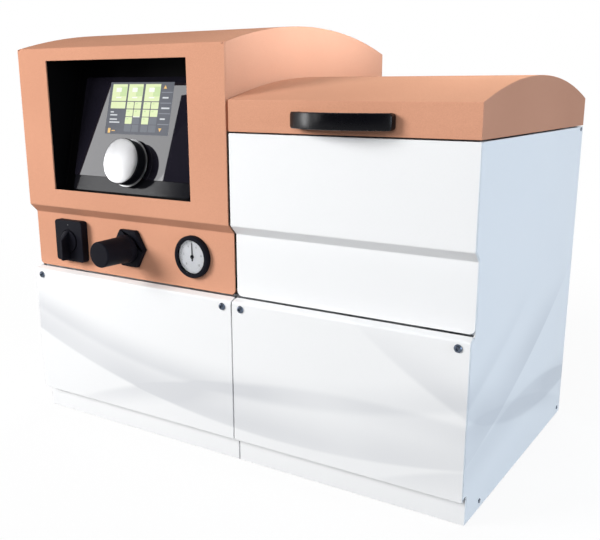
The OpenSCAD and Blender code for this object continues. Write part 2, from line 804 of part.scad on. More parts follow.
module gauge_case() color("black") on_gauge() difference() {
  union() {
    translate([0, 0, -26]) cylinder(h = 28, r = dial_d / 2);
    translate([0, 0, -40]) cylinder(h = 15, r = 5);
  }
  translate([0, 0, -4]) cylinder(h = 10, r = 0.8 + run_play);
}

module gauge_bezel() color("black") on_gauge() rotate_extrude() {
  inner = dial_d / 2 + fit_gap;
  polygon([
    [inner, 0], [gauge_d / 2, 0], [gauge_d / 2, gauge_out - 1.4], [gauge_d / 2 - 1.4, gauge_out],
    [dial_d / 2 - 0.2, gauge_out], [dial_d / 2 - 0.6, gauge_out - 0.8], [inner, gauge_out - 0.8]
  ]);
}

module gauge_dial() color("white") on_gauge() difference() {
  translate([0, 0, 2]) cylinder(h = 0.5, r = dial_d / 2 - 0.2);
  translate([0, 0, 1]) cylinder(h = 3, r = 0.8 + run_play);
}

module gauge_pointer() color("black") on_gauge() {
  translate([0, 0, -3]) cylinder(h = 6, r = 0.8);
  translate([0, 0, 2.9]) cylinder(h = 0.9, r = 2.2);
  translate([0, 0, 2.9]) linear_extrude(0.5) polygon([
    [-0.7, -5], [0.7, -5], [0.7, 0], [0.2, dial_d / 2 - 4], [-0.2, dial_d / 2 - 4], [-0.7, 0]
  ]);
}

module gauge_lens() color("lightcyan") on_gauge() {
  translate([0, 0, gauge_out - 1.8]) cylinder(h = 1, r = dial_d / 2);
}

// Lower panels

function screw_xs(x) = [x[0] + screw_inset, x[1] - screw_inset];

module lower_panel(x, inner) {
  difference() {
    union() {
      intersection() {
        along_x(x[0], x[1]) bent_sheet(lower_path);
        along_y(y_face - 1, y_rear) panel_outline(x, [plinth_h, flap_tip[1] + 1], 1.5, 4);
      }
      along_x(inner[0], inner[1]) plain_sheet([
        [y_face, plinth_h + 20], [y_face, plinth_h], [pivot_y, plinth_h]
      ]);
      rod_x(pivot_y, pivot_z, inner[0], inner[1], bead_r);
      for (x0 = [inner[0], inner[1] - sheet_t])
        block([x0, x0 + sheet_t], [in_face - eps, in_face + return_d], [plinth_h + sheet_t - eps, screw_z - 10]);
    }
    for (sx = screw_xs(x)) rod_y(sx, screw_z, y_face - 1, in_face + 1, screw_d / 2 + 0.2);
  }
}

module left_lower_panel() color("white") {
  lower_panel(left_panel, [in_l + edge_gap, left_panel[1]]);
}

module right_lower_panel() color("white") {
  lower_panel(right_panel, [right_panel[0], in_r - edge_gap]);
}

module panel_screw(x) {
  translate([x, y_face, screw_z]) rotate([90, 0, 0]) difference() {
    union() {
      rotate_extrude() polygon([
        [0, 0], [screw_head_d / 2, 0], [screw_head_d / 2, 0.7], [screw_head_d / 2 - 0.6, 1.7],
        [screw_head_d / 2 - 1.6, 2.3], [0, 2.5]
      ]);
      translate([0, 0, -19]) cylinder(h = 19 + eps, r = screw_d / 2);
    }
    translate([0, 0, 0.9]) cylinder(h = 4, r = 1.7, $fn = 6);
  }
}

module left_panel_screws() color("dimgray") for (x = screw_xs(left_panel)) panel_screw(x);

module right_panel_screws() color("dimgray") for (x = screw_xs(right_panel)) panel_screw(x);

// Lid

handle_cx = (x_tank + x_r) / 2;

module lid_shell() color("peru") difference() {
  edge = tank_h + lid_front_h;
  along_x(x_tank, x_r) arch(y_face, y_rear, tank_h, edge, 0);
  along_x(x_tank + sheet_t, in_r) arch(in_face, in_rear, tank_h - 1, edge, sheet_t);
}

module lid_liner() color("gainsboro") {
  x = [x_tank + sheet_t + fit_gap, in_r - fit_gap];
  y = [in_face + fit_gap, in_rear - fit_gap];
  difference() {
    block(x, y, [liner_z, liner_z + 15]);
    block([x[0] + liner_t, x[1] - liner_t], [y[0] + liner_t, y[1] - liner_t], [liner_z + liner_t, liner_z + 16]);
  }
}

module lid_seal() color("firebrick") translate([tank_cx, tank_cy, rim_top + fit_gap])
  linear_extrude(liner_z - rim_top - fit_gap) difference() {
    round_rect(cavity_w + 12, cavity_d + 12, cavity_r + 6);
    round_rect(cavity_w - 16, cavity_d - 16, cavity_r - 8);
  }

module lid_handle() color("black") {
  half = handle_w / 2;
  foot = 13;
  sag = handle_out - handle_end;
  outer = (half * half + sag * sag) / (2 * sag);
  translate([handle_cx, y_face, tank_h + handle_up]) linear_extrude(handle_h) difference() {
    intersection() {
      translate([0, outer - handle_out]) circle(outer, $fn = 180);
      translate([-half, -handle_out - 1]) square([handle_w, handle_out + 1]);
    }
    intersection() {
      translate([0, outer - handle_out]) circle(outer - handle_t, $fn = 180);
      translate([foot - half, -handle_out]) square([handle_w - 2 * foot, handle_out + 1]);
    }
  }
}

hinge_xs = [tank_cx - hinge_span / 2, tank_cx + hinge_span / 2];
knuckle_l = hinge_l / 3;

module hinge_barrel(x0, x1) {
  difference() {
    rod_x(hinge_y, hinge_z, x0, x1, knuckle_r);
    rod_x(hinge_y, hinge_z, x0 - 1, x1 + 1, pin_d / 2 + run_play);
  }
}

module leaf_arm(x0, x1, z0, z1) {
  difference() {
    block([x0, x1], [y_rear, y_rear + sheet_t], [z0, z1]);
    rod_x(hinge_y, hinge_z, x0 - 1, x1 + 1, pin_d / 2 + run_play);
  }
}

module lid_hinge_leaves() color("silver") for (x = hinge_xs) {
  block([x - hinge_l / 2, x + hinge_l / 2], [y_rear, y_rear + sheet_t], [hinge_z + knuckle_r + 1, hinge_z + 28]);
  for (i = [-1, 1]) {
    x0 = i < 0 ? x - hinge_l / 2 : x + knuckle_l / 2 + 0.2;
    x1 = i < 0 ? x - knuckle_l / 2 - 0.2 : x + hinge_l / 2;
    hinge_barrel(x0, x1);
    leaf_arm(x0, x1, hinge_z + 0.5, hinge_z + 8);
  }
}

module cabinet_hinge_leaves() color("silver") for (x = hinge_xs) {
  block([x - hinge_l / 2, x + hinge_l / 2], [y_rear, y_rear + sheet_t], [hinge_z - 34, hinge_z - knuckle_r - 1]);
  x0 = x - knuckle_l / 2 + 0.2;
  x1 = x + knuckle_l / 2 - 0.2;
  hinge_barrel(x0, x1);
  leaf_arm(x0, x1, hinge_z - 8, hinge_z - 0.5);
}

module hinge_pins() color("silver") for (x = hinge_xs) {
  rod_x(hinge_y, hinge_z, x - hinge_l / 2 - 0.5, x + hinge_l / 2 + 0.5, pin_d / 2);
  for (i = [-1, 1]) {
    x0 = i < 0 ? x - hinge_l / 2 - 2 : x + hinge_l / 2 + 0.5;
    rod_x(hinge_y, hinge_z, x0, x0 + 1.5, knuckle_r - 0.5);
  }
}

// Melt tank

module melt_tank() color("darkgray") {
  difference() {
    translate([tank_cx, tank_cy, tank_z]) linear_extrude(tank_rim - tank_z)
      round_rect(cavity_w + 2 * tank_wall, cavity_d + 2 * tank_wall, cavity_r + tank_wall);
    translate([tank_cx, tank_cy, tank_z + tank_floor_t]) linear_extrude(tank_rim - tank_z)
      round_rect(cavity_w, cavity_d, cavity_r);
    for (x = heater_xs)
      rod_y(tank_cx + x, heater_z, tank_cy + cavity_d / 2 + tank_wall - heater_l, tank_cy + cavity_d / 2 + tank_wall + 1,
        heater_d / 2 + run_play);
    rod_z(tank_cx - 30, outlet_y, tank_z - 1, tank_z + tank_floor_t + 1, outlet_r);
  }
  for (k = [-2 : 2])
    along_y(tank_cy - cavity_d / 2 + 14, outlet_y - outlet_r - 6) translate([tank_cx + k * rib_pitch, tank_z + tank_floor_t - eps])
      polygon([[-6, 0], [6, 0], [2.5, rib_h], [-2.5, rib_h]]);
}

module tank_collar() color("silver") {
  z = [tank_rim, tank_rim + sheet_t];
  difference() {
    block([x_tank + fit_gap, in_r - fit_gap], [y_face + bend_r + fit_gap, in_rear - fit_gap], z);
    translate([tank_cx, tank_cy, z[0] - 1]) linear_extrude(5)
      round_rect(mouth_w + 1, mouth_d + 1, cavity_r - skirt_gap - skirt_t);
    block([in_r - 12, in_r], [y_rear - 20, y_rear], [z[0] - 1, z[1] + 1]);
  }
  translate([tank_cx, tank_cy, tank_rim - 22]) linear_extrude(rim_top - tank_rim + 22) difference() {
    round_rect(mouth_w + 2 * skirt_t, mouth_d + 2 * skirt_t, cavity_r - skirt_gap);
    round_rect(mouth_w, mouth_d, cavity_r - skirt_gap - skirt_t);
  }
}

module tank_insulation() color("beige") {
  wx = cavity_w / 2 + tank_wall;
  wy = cavity_d / 2 + tank_wall;
  inset = cavity_r + tank_wall + 1;
  z = [tank_z + tank_floor_t + 6, tank_rim - 8];
  for (i = [-1, 1]) {
    x0 = tank_cx + (i < 0 ? -wx - insulation_t : wx);
    y0 = tank_cy + (i < 0 ? -wy - insulation_t : wy);
    block([x0, x0 + insulation_t], [tank_cy - wy + inset, tank_cy + wy - inset], z);
    block([tank_cx - wx + inset, tank_cx + wx - inset], [y0, y0 + insulation_t], z);
  }
}

module tank_posts() color("silver") for (i = [-1, 1]) {
  rod_z(tank_cx + i * (cavity_w / 2 - post_inset), tank_cy - cavity_d / 2 + post_inset, base_t, tank_z, post_r);
  rod_z(tank_cx + i * (manifold_w / 2 - post_inset), pump_cy, base_t, manifold_z, post_r);
}

module heater_cartridges() color("lightgray") for (x = heater_xs) {
  y1 = tank_cy + cavity_d / 2 + tank_wall;
  rod_y(tank_cx + x, heater_z, y1 - heater_l + 1, y1 + 6, heater_d / 2);
}

// Manifold and filter

module manifold_block() color("lightgray") difference() {
  union() {
    block([manifold_x0, manifold_x0 + manifold_w], [manifold_y0, manifold_y1], [manifold_z, manifold_top]);
    rod_z(tank_cx - 30, outlet_y, manifold_top - 1, tank_z, outlet_r + 12);
    block([pump_x1, manifold_x0 + 1], [pump_cy - 25, pump_cy + 25], [port_z - 25, port_z + 25]);
  }
  rod_z(tank_cx - 30, outlet_y, manifold_top - 20, tank_z + 1, outlet_r);
  rod_y(filter_x, port_z, manifold_y0 - 1, manifold_y0 + filter_depth, filter_r);
}

module port_bushes() color("silver") for (x = port_xs) difference() {
  along_y(manifold_y1, bush_y1) translate([x, port_z]) circle(bush_r, $fn = 6);
  rod_y(x, port_z, bush_y1 - port_depth, bush_y1 + 1, port_d / 2);
  mouth_y(x, port_z, bush_y1, port_d / 2, thread_lead);
}

module filter_plug() color("gray") difference() {
  union() {
    rod_y(filter_x, port_z, manifold_y0 - 6, manifold_y0, filter_r + 4);
    rod_y(filter_x, port_z, manifold_y0 - 1, manifold_y0 + 14, filter_r - run_play);
    rod_y(filter_x, port_z, manifold_y0 + 13, manifold_y0 + filter_depth - 4, filter_r - 3);
    along_y(manifold_y0 - 18, manifold_y0 - 5) translate([filter_x, port_z]) circle(14, $fn = 6);
  }
  rod_y(filter_x, port_z, manifold_y0 + 14, manifold_y0 + filter_depth, filter_r - 6);
}

// Pump

module pump_body() color("darkgray") difference() {
  union() {
    block([pump_x1 - pump_w, pump_x1], [pump_cy - pump_w / 2, pump_cy + pump_w / 2], [pump_z0, pump_z1]);
    rod_z(pump_cx, pump_cy, pump_z1 - 1, gland_z, 17);
    rod_z(pump_cx, pump_cy, base_t, pump_z0 + 1, 24);
  }
  rod_z(pump_cx, pump_cy, rod_bottom - 2, gland_z + 1, rod_d / 2 + run_play);
}

module pump_tie_rods() color("silver") for (i = [-1, 1], k = [-1, 1])
  rod_z(pump_cx + i * tie_offset, pump_cy + k * tie_offset, pump_z1, flange_z, 5);

module air_cylinder() color("lightgray") difference() {
  union() {
    block([pump_cx - 41, pump_cx + 41], [pump_cy - 41, pump_cy + 41], [flange_z, cylinder_z]);
    rod_z(pump_cx, pump_cy, cylinder_z - 1, head_z + 1, air_d / 2);
    block([pump_cx - 41, pump_cx + 41], [pump_cy - 41, pump_cy + 41], [head_z, head_z + 14]);
    block([pump_cx - 18, pump_cx + 18], [pump_cy - 60, pump_cy - 30], [cylinder_z + 8, head_z - 8]);
  }
  rod_z(pump_cx, pump_cy, cylinder_z, head_z, air_d / 2 - cylinder_wall);
  rod_z(pump_cx, pump_cy, flange_z - 1, cylinder_z + 1, rod_d / 2 + run_play);
}

module pump_rod() color("silver") {
  rod_z(pump_cx, pump_cy, rod_bottom, cylinder_z + 6, rod_d / 2);
  rod_z(pump_cx, pump_cy, cylinder_z + 4, cylinder_z + 4 + piston_t, air_d / 2 - cylinder_wall - run_play);
}

// Electronics

module electronics_plate() color("silver") {
  block(plate_x, [plate_y, plate_y + sheet_t], plate_z);
  for (x = [plate_x[0] + 10, plate_x[1] - 10], z = [plate_z[0] + 66, plate_z[1] - 6])
    rod_y(x, z, plate_y + 1, in_rear, 4);
}

module power_board() color("darkgreen") {
  face = board_y - board_t + eps;
  block(board_x, [board_y - board_t, board_y], board_z);
  for (x = [board_x[0] + 6, board_x[1] - 6], z = [board_z[0] + 6, board_z[1] - 6])
    rod_y(x, z, board_y - eps, plate_y, 3);
  for (x = [board_x[0] + 12 : 29 : board_x[1] - 30])
    block([x, x + 22], [board_y - 24, face], [board_z[1] - 50, board_z[1] - 12]);
  block([board_x[0] + 10, board_x[0] + 80], [board_y - 36, face], [board_z[0] + 12, board_z[0] + 84]);
  block([board_x[0] + 92, board_x[1] - 8], [board_y - 18, face], [board_z[0] + 12, board_z[0] + 30]);
}

// Rear connections

module rear_sockets() color("dimgray") for (x = port_xs) difference() {
  union() {
    along_y(y_rear, y_rear + 3) translate([x, socket_z]) round_rect(32, 32, 4);
    rod_y(x, socket_z, y_rear - 20, socket_y1, 12);
  }
  rod_y(x, socket_z, y_rear + 2, socket_y1 + 1, socket_r);
  mouth_y(x, socket_z, socket_y1, socket_r, socket_lead);
}

module rear_entries() color("dimgray") {
  difference() {
    union() {
      rod_y(gland_x, entry_z, in_rear - 8, y_rear + 16, 10);
      along_y(y_rear, y_rear + 6) translate([gland_x, entry_z]) circle(14, $fn = 6);
      rod_y(gland_x, entry_z, in_rear - 6, in_rear, 13);
    }
    rod_y(gland_x, entry_z, in_rear - 9, y_rear + 17, gland_bore_d / 2);
  }
  difference() {
    union() {
      rod_y(inlet_x, entry_z, in_rear - 14, inlet_y1, 9);
      along_y(y_rear, y_rear + 5) translate([inlet_x, entry_z]) circle(13, $fn = 6);
      rod_y(inlet_x, entry_z, in_rear - 6, in_rear, 12);
    }
    rod_y(inlet_x, entry_z, y_rear - 4, inlet_y1 + 1, air_port_d / 2);
    mouth_y(inlet_x, entry_z, inlet_y1, air_port_d / 2, thread_lead);
  }
}

base_plate();
left_plinth();
right_plinth();
left_side_panel();
right_side_panel();
rear_panel();
bulkhead();
front_rail();
tank_front_panel();
tower_front_panel();
tower_hood();
recess_box();
operator_panel();
operator_glass();
display_screen();
encoder_body();
encoder_plunger();
encoder_shaft();
knob_body();
knob_trim();
switch_plate();
switch_body();
switch_knob();
regulator_body();
regulator_nut();
regulator_spindle();
regulator_knob();
gauge_case();
gauge_bezel();
gauge_dial();
gauge_pointer();
gauge_lens();
left_lower_panel();
right_lower_panel();
left_panel_screws();
right_panel_screws();
side_screws();
lid_shell();
lid_liner();
lid_seal();
lid_handle();
lid_hinge_leaves();
cabinet_hinge_leaves();
hinge_pins();
melt_tank();
tank_collar();
tank_insulation();
tank_posts();
heater_cartridges();
manifold_block();
port_bushes();
filter_plug();
pump_body();
pump_tie_rods();
air_cylinder();
pump_rod();
electronics_plate();
power_board();
rear_sockets();
rear_entries();
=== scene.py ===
from math import asin, cos, pi, radians, sin

import bpy
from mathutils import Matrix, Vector


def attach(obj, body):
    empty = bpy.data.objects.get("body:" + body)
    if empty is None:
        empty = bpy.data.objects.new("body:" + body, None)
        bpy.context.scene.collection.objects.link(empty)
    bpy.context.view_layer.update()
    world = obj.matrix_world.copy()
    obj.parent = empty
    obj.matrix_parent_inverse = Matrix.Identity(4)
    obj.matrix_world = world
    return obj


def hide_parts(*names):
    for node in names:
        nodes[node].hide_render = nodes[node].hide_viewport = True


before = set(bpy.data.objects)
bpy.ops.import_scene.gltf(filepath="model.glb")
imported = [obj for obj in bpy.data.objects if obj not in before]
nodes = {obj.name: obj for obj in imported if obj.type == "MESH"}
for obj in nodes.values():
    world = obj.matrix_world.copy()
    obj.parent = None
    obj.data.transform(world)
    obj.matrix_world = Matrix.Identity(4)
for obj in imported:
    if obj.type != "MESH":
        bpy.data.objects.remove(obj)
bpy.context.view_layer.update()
print("frame loaded:", len(nodes), "nodes")


# camera, at the photograph's viewing angle
cameraSettings = {
    "place": (0.5417, -0.8601, 0.4228),
    "forward": (-0.5176, 0.8185, -0.2492),
    "lens": 47.57,
    "sensor": 36,
    "shift": (-0.003, 0.0393),
    "nearest": 0.01,
}


def placeCamera(settings):
    bpy.ops.object.camera_add(location=settings["place"])
    camera = bpy.context.object
    camera.name = "unitCamera"
    camera.rotation_euler = Vector(settings["forward"]).to_track_quat("-Z", "Y").to_euler()
    camera.data.lens = settings["lens"]
    camera.data.sensor_width = settings["sensor"]
    camera.data.shift_x, camera.data.shift_y = settings["shift"]
    camera.data.clip_start = settings["nearest"]
    bpy.context.scene.camera = camera


placeCamera(cameraSettings)
print("camera placed")


# shader node helpers
def addMath(tree, operation, first, second, third=None):
    node = tree.nodes.new("ShaderNodeMath")
    node.operation = operation
    for slot, value in zip(node.inputs, (first, second, third)):
        if isinstance(value, (int, float)):
            slot.default_value = value
        elif value is not None:
            tree.links.new(value, slot)
    return node.outputs[0]


def addRange(tree, value, low, high, newLow, newHigh, smooth=False):
    node = tree.nodes.new("ShaderNodeMapRange")
    if smooth:
        node.interpolation_type = "SMOOTHSTEP"
    tree.links.new(value, node.inputs["Value"])
    for label, number in (("From Min", low), ("From Max", high), ("To Min", newLow), ("To Max", newHigh)):
        node.inputs[label].default_value = number
    return node.outputs["Result"]


def addNoise(tree, vector, scale, detail, distortion=0):
    node = tree.nodes.new("ShaderNodeTexNoise")
    node.inputs["Detail"].default_value = detail
    node.inputs["Distortion"].default_value = distortion
    tree.links.new(vector, node.inputs["Vector"])
    if isinstance(scale, (int, float)):
        node.inputs["Scale"].default_value = scale
    else:
        tree.links.new(scale, node.inputs["Scale"])
    return node.outputs[0]


def addVectorMath(tree, operation, vector, fixed=None):
    node = tree.nodes.new("ShaderNodeVectorMath")
    node.operation = operation
    tree.links.new(vector, node.inputs[0])
    if fixed is not None:
        node.inputs[1].default_value = fixed
    return node.outputs["Value" if operation in ("LENGTH", "DISTANCE") else "Vector"]


def mixColours(tree, share, first, second):
    node = tree.nodes.new("ShaderNodeMix")
    node.data_type = "RGBA"
    tree.links.new(share, node.inputs[0])
    for slot, value in ((node.inputs[6], first), (node.inputs[7], second)):
        if isinstance(value, tuple):
            slot.default_value = value
        else:
            tree.links.new(value, slot)
    return node.outputs[2]


def blendTones(tree, first, second, share):  # share of the first, and the rest of the second
    return addMath(tree, "MULTIPLY_ADD", first, share, addMath(tree, "MULTIPLY", second, 1 - share))


# studio: lamps, world, floor and reflection cards
lampSettings = [
    {"name": "windowSoftbox", "place": (-1.9, -2.15, 1.35), "aim": (-0.05, -0.1, 0.3),
     "size": (1.35, 1.12), "watts": 93, "colour": (1.0, 1.0, 1.0), "shows": "matt"},
    {"name": "frontFill", "place": (0.40, -2.6, 1.15), "aim": (0, 0, 0.25),
     "size": (2.0, 1.0), "watts": 20, "colour": (1.0, 0.99, 0.975), "shows": "matt"},
    {"name": "rightFill", "place": (2.4, -0.2, 0.45), "aim": (0.3, 0, 0.2),
     "size": (1.4, 0.7), "watts": 34, "colour": (0.70, 0.84, 1.0), "shows": "both"},
    {"name": "gableSlip", "place": (0.272, -0.01, 0.558), "aim": (0.02, 0.0, 0.520), "spread": 70,
     "size": (0.34, 0.08), "watts": 0.228, "colour": (0.70, 0.88, 1.0), "shows": "matt"},
    {"name": "lidSlip", "place": (0.270, -0.01, 0.660), "aim": (0.270, -0.0101, 0.40),
     "size": (0.06, 0.34), "watts": 0.67, "colour": (0.86, 0.98, 1.0), "shows": "matt"},
    {"name": "leftStrip", "place": (-2.3, -1.14, 0.46), "aim": (0.1, -0.2, 0.4),
     "size": (0.42, 0.8), "watts": 21, "colour": (1.0, 1.0, 1.0), "shows": "gloss"},
    {"name": "backFill", "place": (-0.5, 2.9, 0.85), "aim": (0, 0, 0.25),
     "size": (2.2, 1.2), "watts": 84, "colour": (1.0, 1.0, 1.0), "shows": "matt"},
]
worldSettings = {"ambient": 0.10, "tint": (0.97, 0.985, 1.0, 1)}
floorSettings = {
    "width": 12, "seen": (0.97, 0.97, 0.97, 1), "bounce": (0.22, 0.22, 0.225, 1),
    "shadowShare": 0.09, "shadowReach": (0.55, 1.5),
}


def addLamp(settings):
    bpy.ops.object.light_add(type="AREA", location=settings["place"])
    lamp = bpy.context.object
    lamp.name = settings["name"]
    toAim = Vector(settings["aim"]) - Vector(settings["place"])
    lamp.rotation_euler = toAim.to_track_quat("-Z", "Y").to_euler()
    lamp.data.shape = "RECTANGLE"
    lamp.data.size, lamp.data.size_y = settings["size"]
    lamp.data.energy = settings["watts"]
    lamp.data.color = settings["colour"]
    lamp.data.spread = radians(settings.get("spread", 180))
    lamp.visible_camera = False
    lamp.visible_glossy = settings["shows"] != "matt"  # cards stand in for the others in reflections
    lamp.visible_diffuse = settings["shows"] != "gloss"


def seenDirectly(tree):  # 1 for camera, glossy and transmission rays
    path = tree.nodes.new("ShaderNodeLightPath").outputs
    total = addMath(tree, "ADD", path["Is Camera Ray"], path["Is Glossy Ray"])
    total = addMath(tree, "ADD", total, path["Is Transmission Ray"])
    return addMath(tree, "MINIMUM", total, 1)


def buildWorld(settings):
    world = bpy.data.worlds.new("studioWorld")
    bpy.context.scene.world = world
    world.use_nodes = True
    tree = world.node_tree
    ambient = tree.nodes["Background"]
    ambient.inputs["Color"].default_value = settings["tint"]
    ambient.inputs["Strength"].default_value = settings["ambient"]
    white = tree.nodes.new("ShaderNodeBackground")
    white.inputs["Color"].default_value = (1, 1, 1, 1)
    white.inputs["Strength"].default_value = 1
    mix = tree.nodes.new("ShaderNodeMixShader")
    tree.links.new(seenDirectly(tree), mix.inputs[0])
    tree.links.new(ambient.outputs[0], mix.inputs[1])
    tree.links.new(white.outputs[0], mix.inputs[2])
    tree.links.new(mix.outputs[0], tree.nodes["World Output"].inputs["Surface"])


def buildFloor(settings):
    bpy.ops.mesh.primitive_plane_add(size=settings["width"], location=(0, 0, 0))
    floor = bpy.context.object
    floor.name = "studioFloor"
    material = bpy.data.materials.new("studioFloor")
    material.use_nodes = True
    tree = material.node_tree
    tree.nodes.remove(tree.nodes["Principled BSDF"])
    seen = seenDirectly(tree)
    diffuse = tree.nodes.new("ShaderNodeBsdfDiffuse")
    tree.links.new(mixColours(tree, seen, settings["bounce"], settings["seen"]), diffuse.inputs["Color"])
    glow = tree.nodes.new("ShaderNodeEmission")
    place = tree.nodes.new("ShaderNodeTexCoord")
    reach = addVectorMath(tree, "LENGTH", place.outputs["Object"])
    fade = addRange(tree, reach, *settings["shadowReach"], 1 - settings["shadowShare"], 1)
    mix = tree.nodes.new("ShaderNodeMixShader")
    tree.links.new(addMath(tree, "MULTIPLY", seen, fade), mix.inputs[0])
    tree.links.new(diffuse.outputs[0], mix.inputs[1])
    tree.links.new(glow.outputs[0], mix.inputs[2])
    tree.links.new(mix.outputs[0], tree.nodes["Material Output"].inputs["Surface"])
    floor.data.materials.append(material)


cardSettings = [  # upright cards that only reflections show: a dark wall, the bright softbox and a dark flag
    {"name": "darkWall", "place": (-1.5, -3.4, 1.35), "size": (9.0, 2.7),
     "lean": 0, "tone": 0.03, "glow": 0},
    {"name": "softboxCard", "place": (-1.6, -2.15, 0.95), "size": (1.95, 1.34),
     "lean": 0, "tone": 1, "glow": 5.4},
    {"name": "darkFlag", "place": (-1.125, -2.10, 0.887), "size": (1.6, 1.5),
     "lean": radians(-7.5), "tone": 0.02, "glow": 0},
]


def buildCard(settings):
    bpy.ops.mesh.primitive_plane_add(size=1, location=settings["place"])
    card = bpy.context.object
    card.name = settings["name"]
    card.rotation_euler = (pi / 2, settings["lean"], 0)
    card.scale = (*settings["size"], 1)
    material = bpy.data.materials.new(settings["name"])
    material.use_nodes = True
    material.cycles.emission_sampling = "NONE"
    shader = material.node_tree.nodes["Principled BSDF"]
    tone = settings["tone"]
    shader.inputs["Base Color"].default_value = (tone, tone, tone, 1)
    shader.inputs["Roughness"].default_value = 1
    shader.inputs["Specular IOR Level"].default_value = 0
    shader.inputs["Emission Color"].default_value = (1, 1, 1, 1)
    shader.inputs["Emission Strength"].default_value = settings["glow"]
    card.data.materials.append(material)
    card.visible_camera = False
    card.visible_diffuse = False
    card.visible_shadow = False


for lamp in lampSettings:
    addLamp(lamp)
buildWorld(worldSettings)
buildFloor(floorSettings)
for card in cardSettings:
    buildCard(card)
bpy.context.scene.view_settings.view_transform = "Standard"
print("studio built")


# shared shader groups
def newGroup(name, inputs, outputs):
    tree = bpy.data.node_groups.new(name, "ShaderNodeTree")
    for label, kind in inputs:
        tree.interface.new_socket(name=label, in_out="INPUT", socket_type=kind)
    for label, kind in outputs:
        tree.interface.new_socket(name=label, in_out="OUTPUT", socket_type=kind)
    source = tree.nodes.new("NodeGroupInput")
    target = tree.nodes.new("NodeGroupOutput")
    return tree, source.outputs, target.inputs


vectorScale = [("Vector", "NodeSocketVector"), ("Scale", "NodeSocketFloat")]
heightTone = [("Height", "NodeSocketFloat"), ("Tone", "NodeSocketFloat")]
grainSettings = {
    "fineScale": 3.3, "fineShare": 0.45, "cloudScale": 7, "specks": (0.3, 0.7), "speckShare": 0.6,
}


def buildPaintGrain(settings):  # fine powder coat skin
    tree, given, put = newGroup("paintGrain", vectorScale, heightTone)
    coarse = addNoise(tree, given["Vector"], given["Scale"], detail=2)
    fineScale = addMath(tree, "MULTIPLY", given["Scale"], settings["fineScale"])
    fine = addNoise(tree, given["Vector"], fineScale, detail=1)
    tree.links.new(addMath(tree, "MULTIPLY_ADD", fine, settings["fineShare"], coarse), put["Height"])
    cloud = addNoise(tree, given["Vector"], settings["cloudScale"], detail=3)
    speck = addRange(tree, fine, *settings["specks"], 0, 1)
    tree.links.new(blendTones(tree, speck, cloud, settings["speckShare"]), put["Tone"])
    return tree


smudgeSettings = {"warp": 0.6, "fineScale": 11, "fineShare": 0.35, "marks": (0.45, 0.95)}


def buildSmudge(settings):  # faint handling marks for gloss
    tree, given, put = newGroup("handlingSmudge", vectorScale, [("Tone", "NodeSocketFloat")])
    broad = addNoise(tree, given["Vector"], given["Scale"], detail=5, distortion=settings["warp"])
    fineScale = addMath(tree, "MULTIPLY", given["Scale"], settings["fineScale"])
    fine = addNoise(tree, given["Vector"], fineScale, detail=2)
    marks = addMath(tree, "MULTIPLY_ADD", fine, settings["fineShare"], broad)
    tree.links.new(addRange(tree, marks, *settings["marks"], 0, 1), put["Tone"])
    return tree


brushedSettings = {"stretch": (0.02, 1, 1), "cloudScale": 14, "cloudShare": 0.5}


def buildBrushed(settings):  # long scratches along X of the given vector
    tree, given, put = newGroup("brushedMetal", vectorScale, heightTone)
    stretch = tree.nodes.new("ShaderNodeMapping")
    stretch.inputs["Scale"].default_value = settings["stretch"]
    tree.links.new(given["Vector"], stretch.inputs["Vector"])
    lines = addNoise(tree, stretch.outputs[0], given["Scale"], detail=3)
    tree.links.new(lines, put["Height"])
    cloud = addNoise(tree, given["Vector"], settings["cloudScale"], detail=3)
    tree.links.new(blendTones(tree, cloud, lines, settings["cloudShare"]), put["Tone"])
    return tree


spunSettings = {"cloudScale": 60, "cloudShare": 0.5}


def buildSpun(settings):  # turning rings round Z of the given vector
    tree, given, put = newGroup("spunMetal", vectorScale, heightTone)
    flat = addVectorMath(tree, "MULTIPLY", given["Vector"], (1, 1, 0))
    ring = tree.nodes.new("ShaderNodeCombineXYZ")
    tree.links.new(addVectorMath(tree, "LENGTH", flat), ring.inputs[0])
    groove = addNoise(tree, ring.outputs[0], given["Scale"], detail=3)
    tree.links.new(groove, put["Height"])
    cloud = addNoise(tree, given["Vector"], settings["cloudScale"], detail=2)
    tree.links.new(blendTones(tree, cloud, groove, settings["cloudShare"]), put["Tone"])
    return tree


castSettings = {"grainScale": 0.6, "cellShare": 0.5, "cloudScale": 18}


def buildCastSkin(settings):  # sand cast or mineral surface
    tree, given, put = newGroup("castSkin", vectorScale, heightTone)
    cells = tree.nodes.new("ShaderNodeTexVoronoi")
    tree.links.new(given["Vector"], cells.inputs["Vector"])
    tree.links.new(given["Scale"], cells.inputs["Scale"])
    grainScale = addMath(tree, "MULTIPLY", given["Scale"], settings["grainScale"])
    grain = addNoise(tree, given["Vector"], grainScale, detail=4)
    height = addMath(tree, "MULTIPLY_ADD", cells.outputs["Distance"], settings["cellShare"], grain)
    tree.links.new(height, put["Height"])
    tree.links.new(addNoise(tree, given["Vector"], settings["cloudScale"], detail=4), put["Tone"])
    return tree


bandSettings = [  # arcs in the unrolled print: centre, radius, soft width, sharp width, strength
    {"centre": (-0.10, 1.12), "radius": 1.075, "soft": 0.060, "sharp": 0.004, "strength": 1.0},
    {"centre": (-0.16, 1.02), "radius": 0.930, "soft": 0.034, "sharp": 0.010, "strength": 0.55},
    {"centre": (0.30, -0.62), "radius": 0.705, "soft": 0.045, "sharp": 0.006, "strength": 0.8},
    {"centre": (0.02, -1.05), "radius": 1.160, "soft": 0.026, "sharp": 0.008, "strength": 0.6},
    {"centre": (0.42, 0.74), "radius": 0.690, "soft": 0.050, "sharp": 0.006, "strength": 0.75},
]
fadeSettings = {  # heights between which the print fades, and how patchy it is
    "foot": (0.02, 0.06), "footShare": 0.35, "head": (0.13, 0.22),
    "cloudScale": 3.5, "cloud": (0.35, 0.65), "cloudShare": 0.45,
}


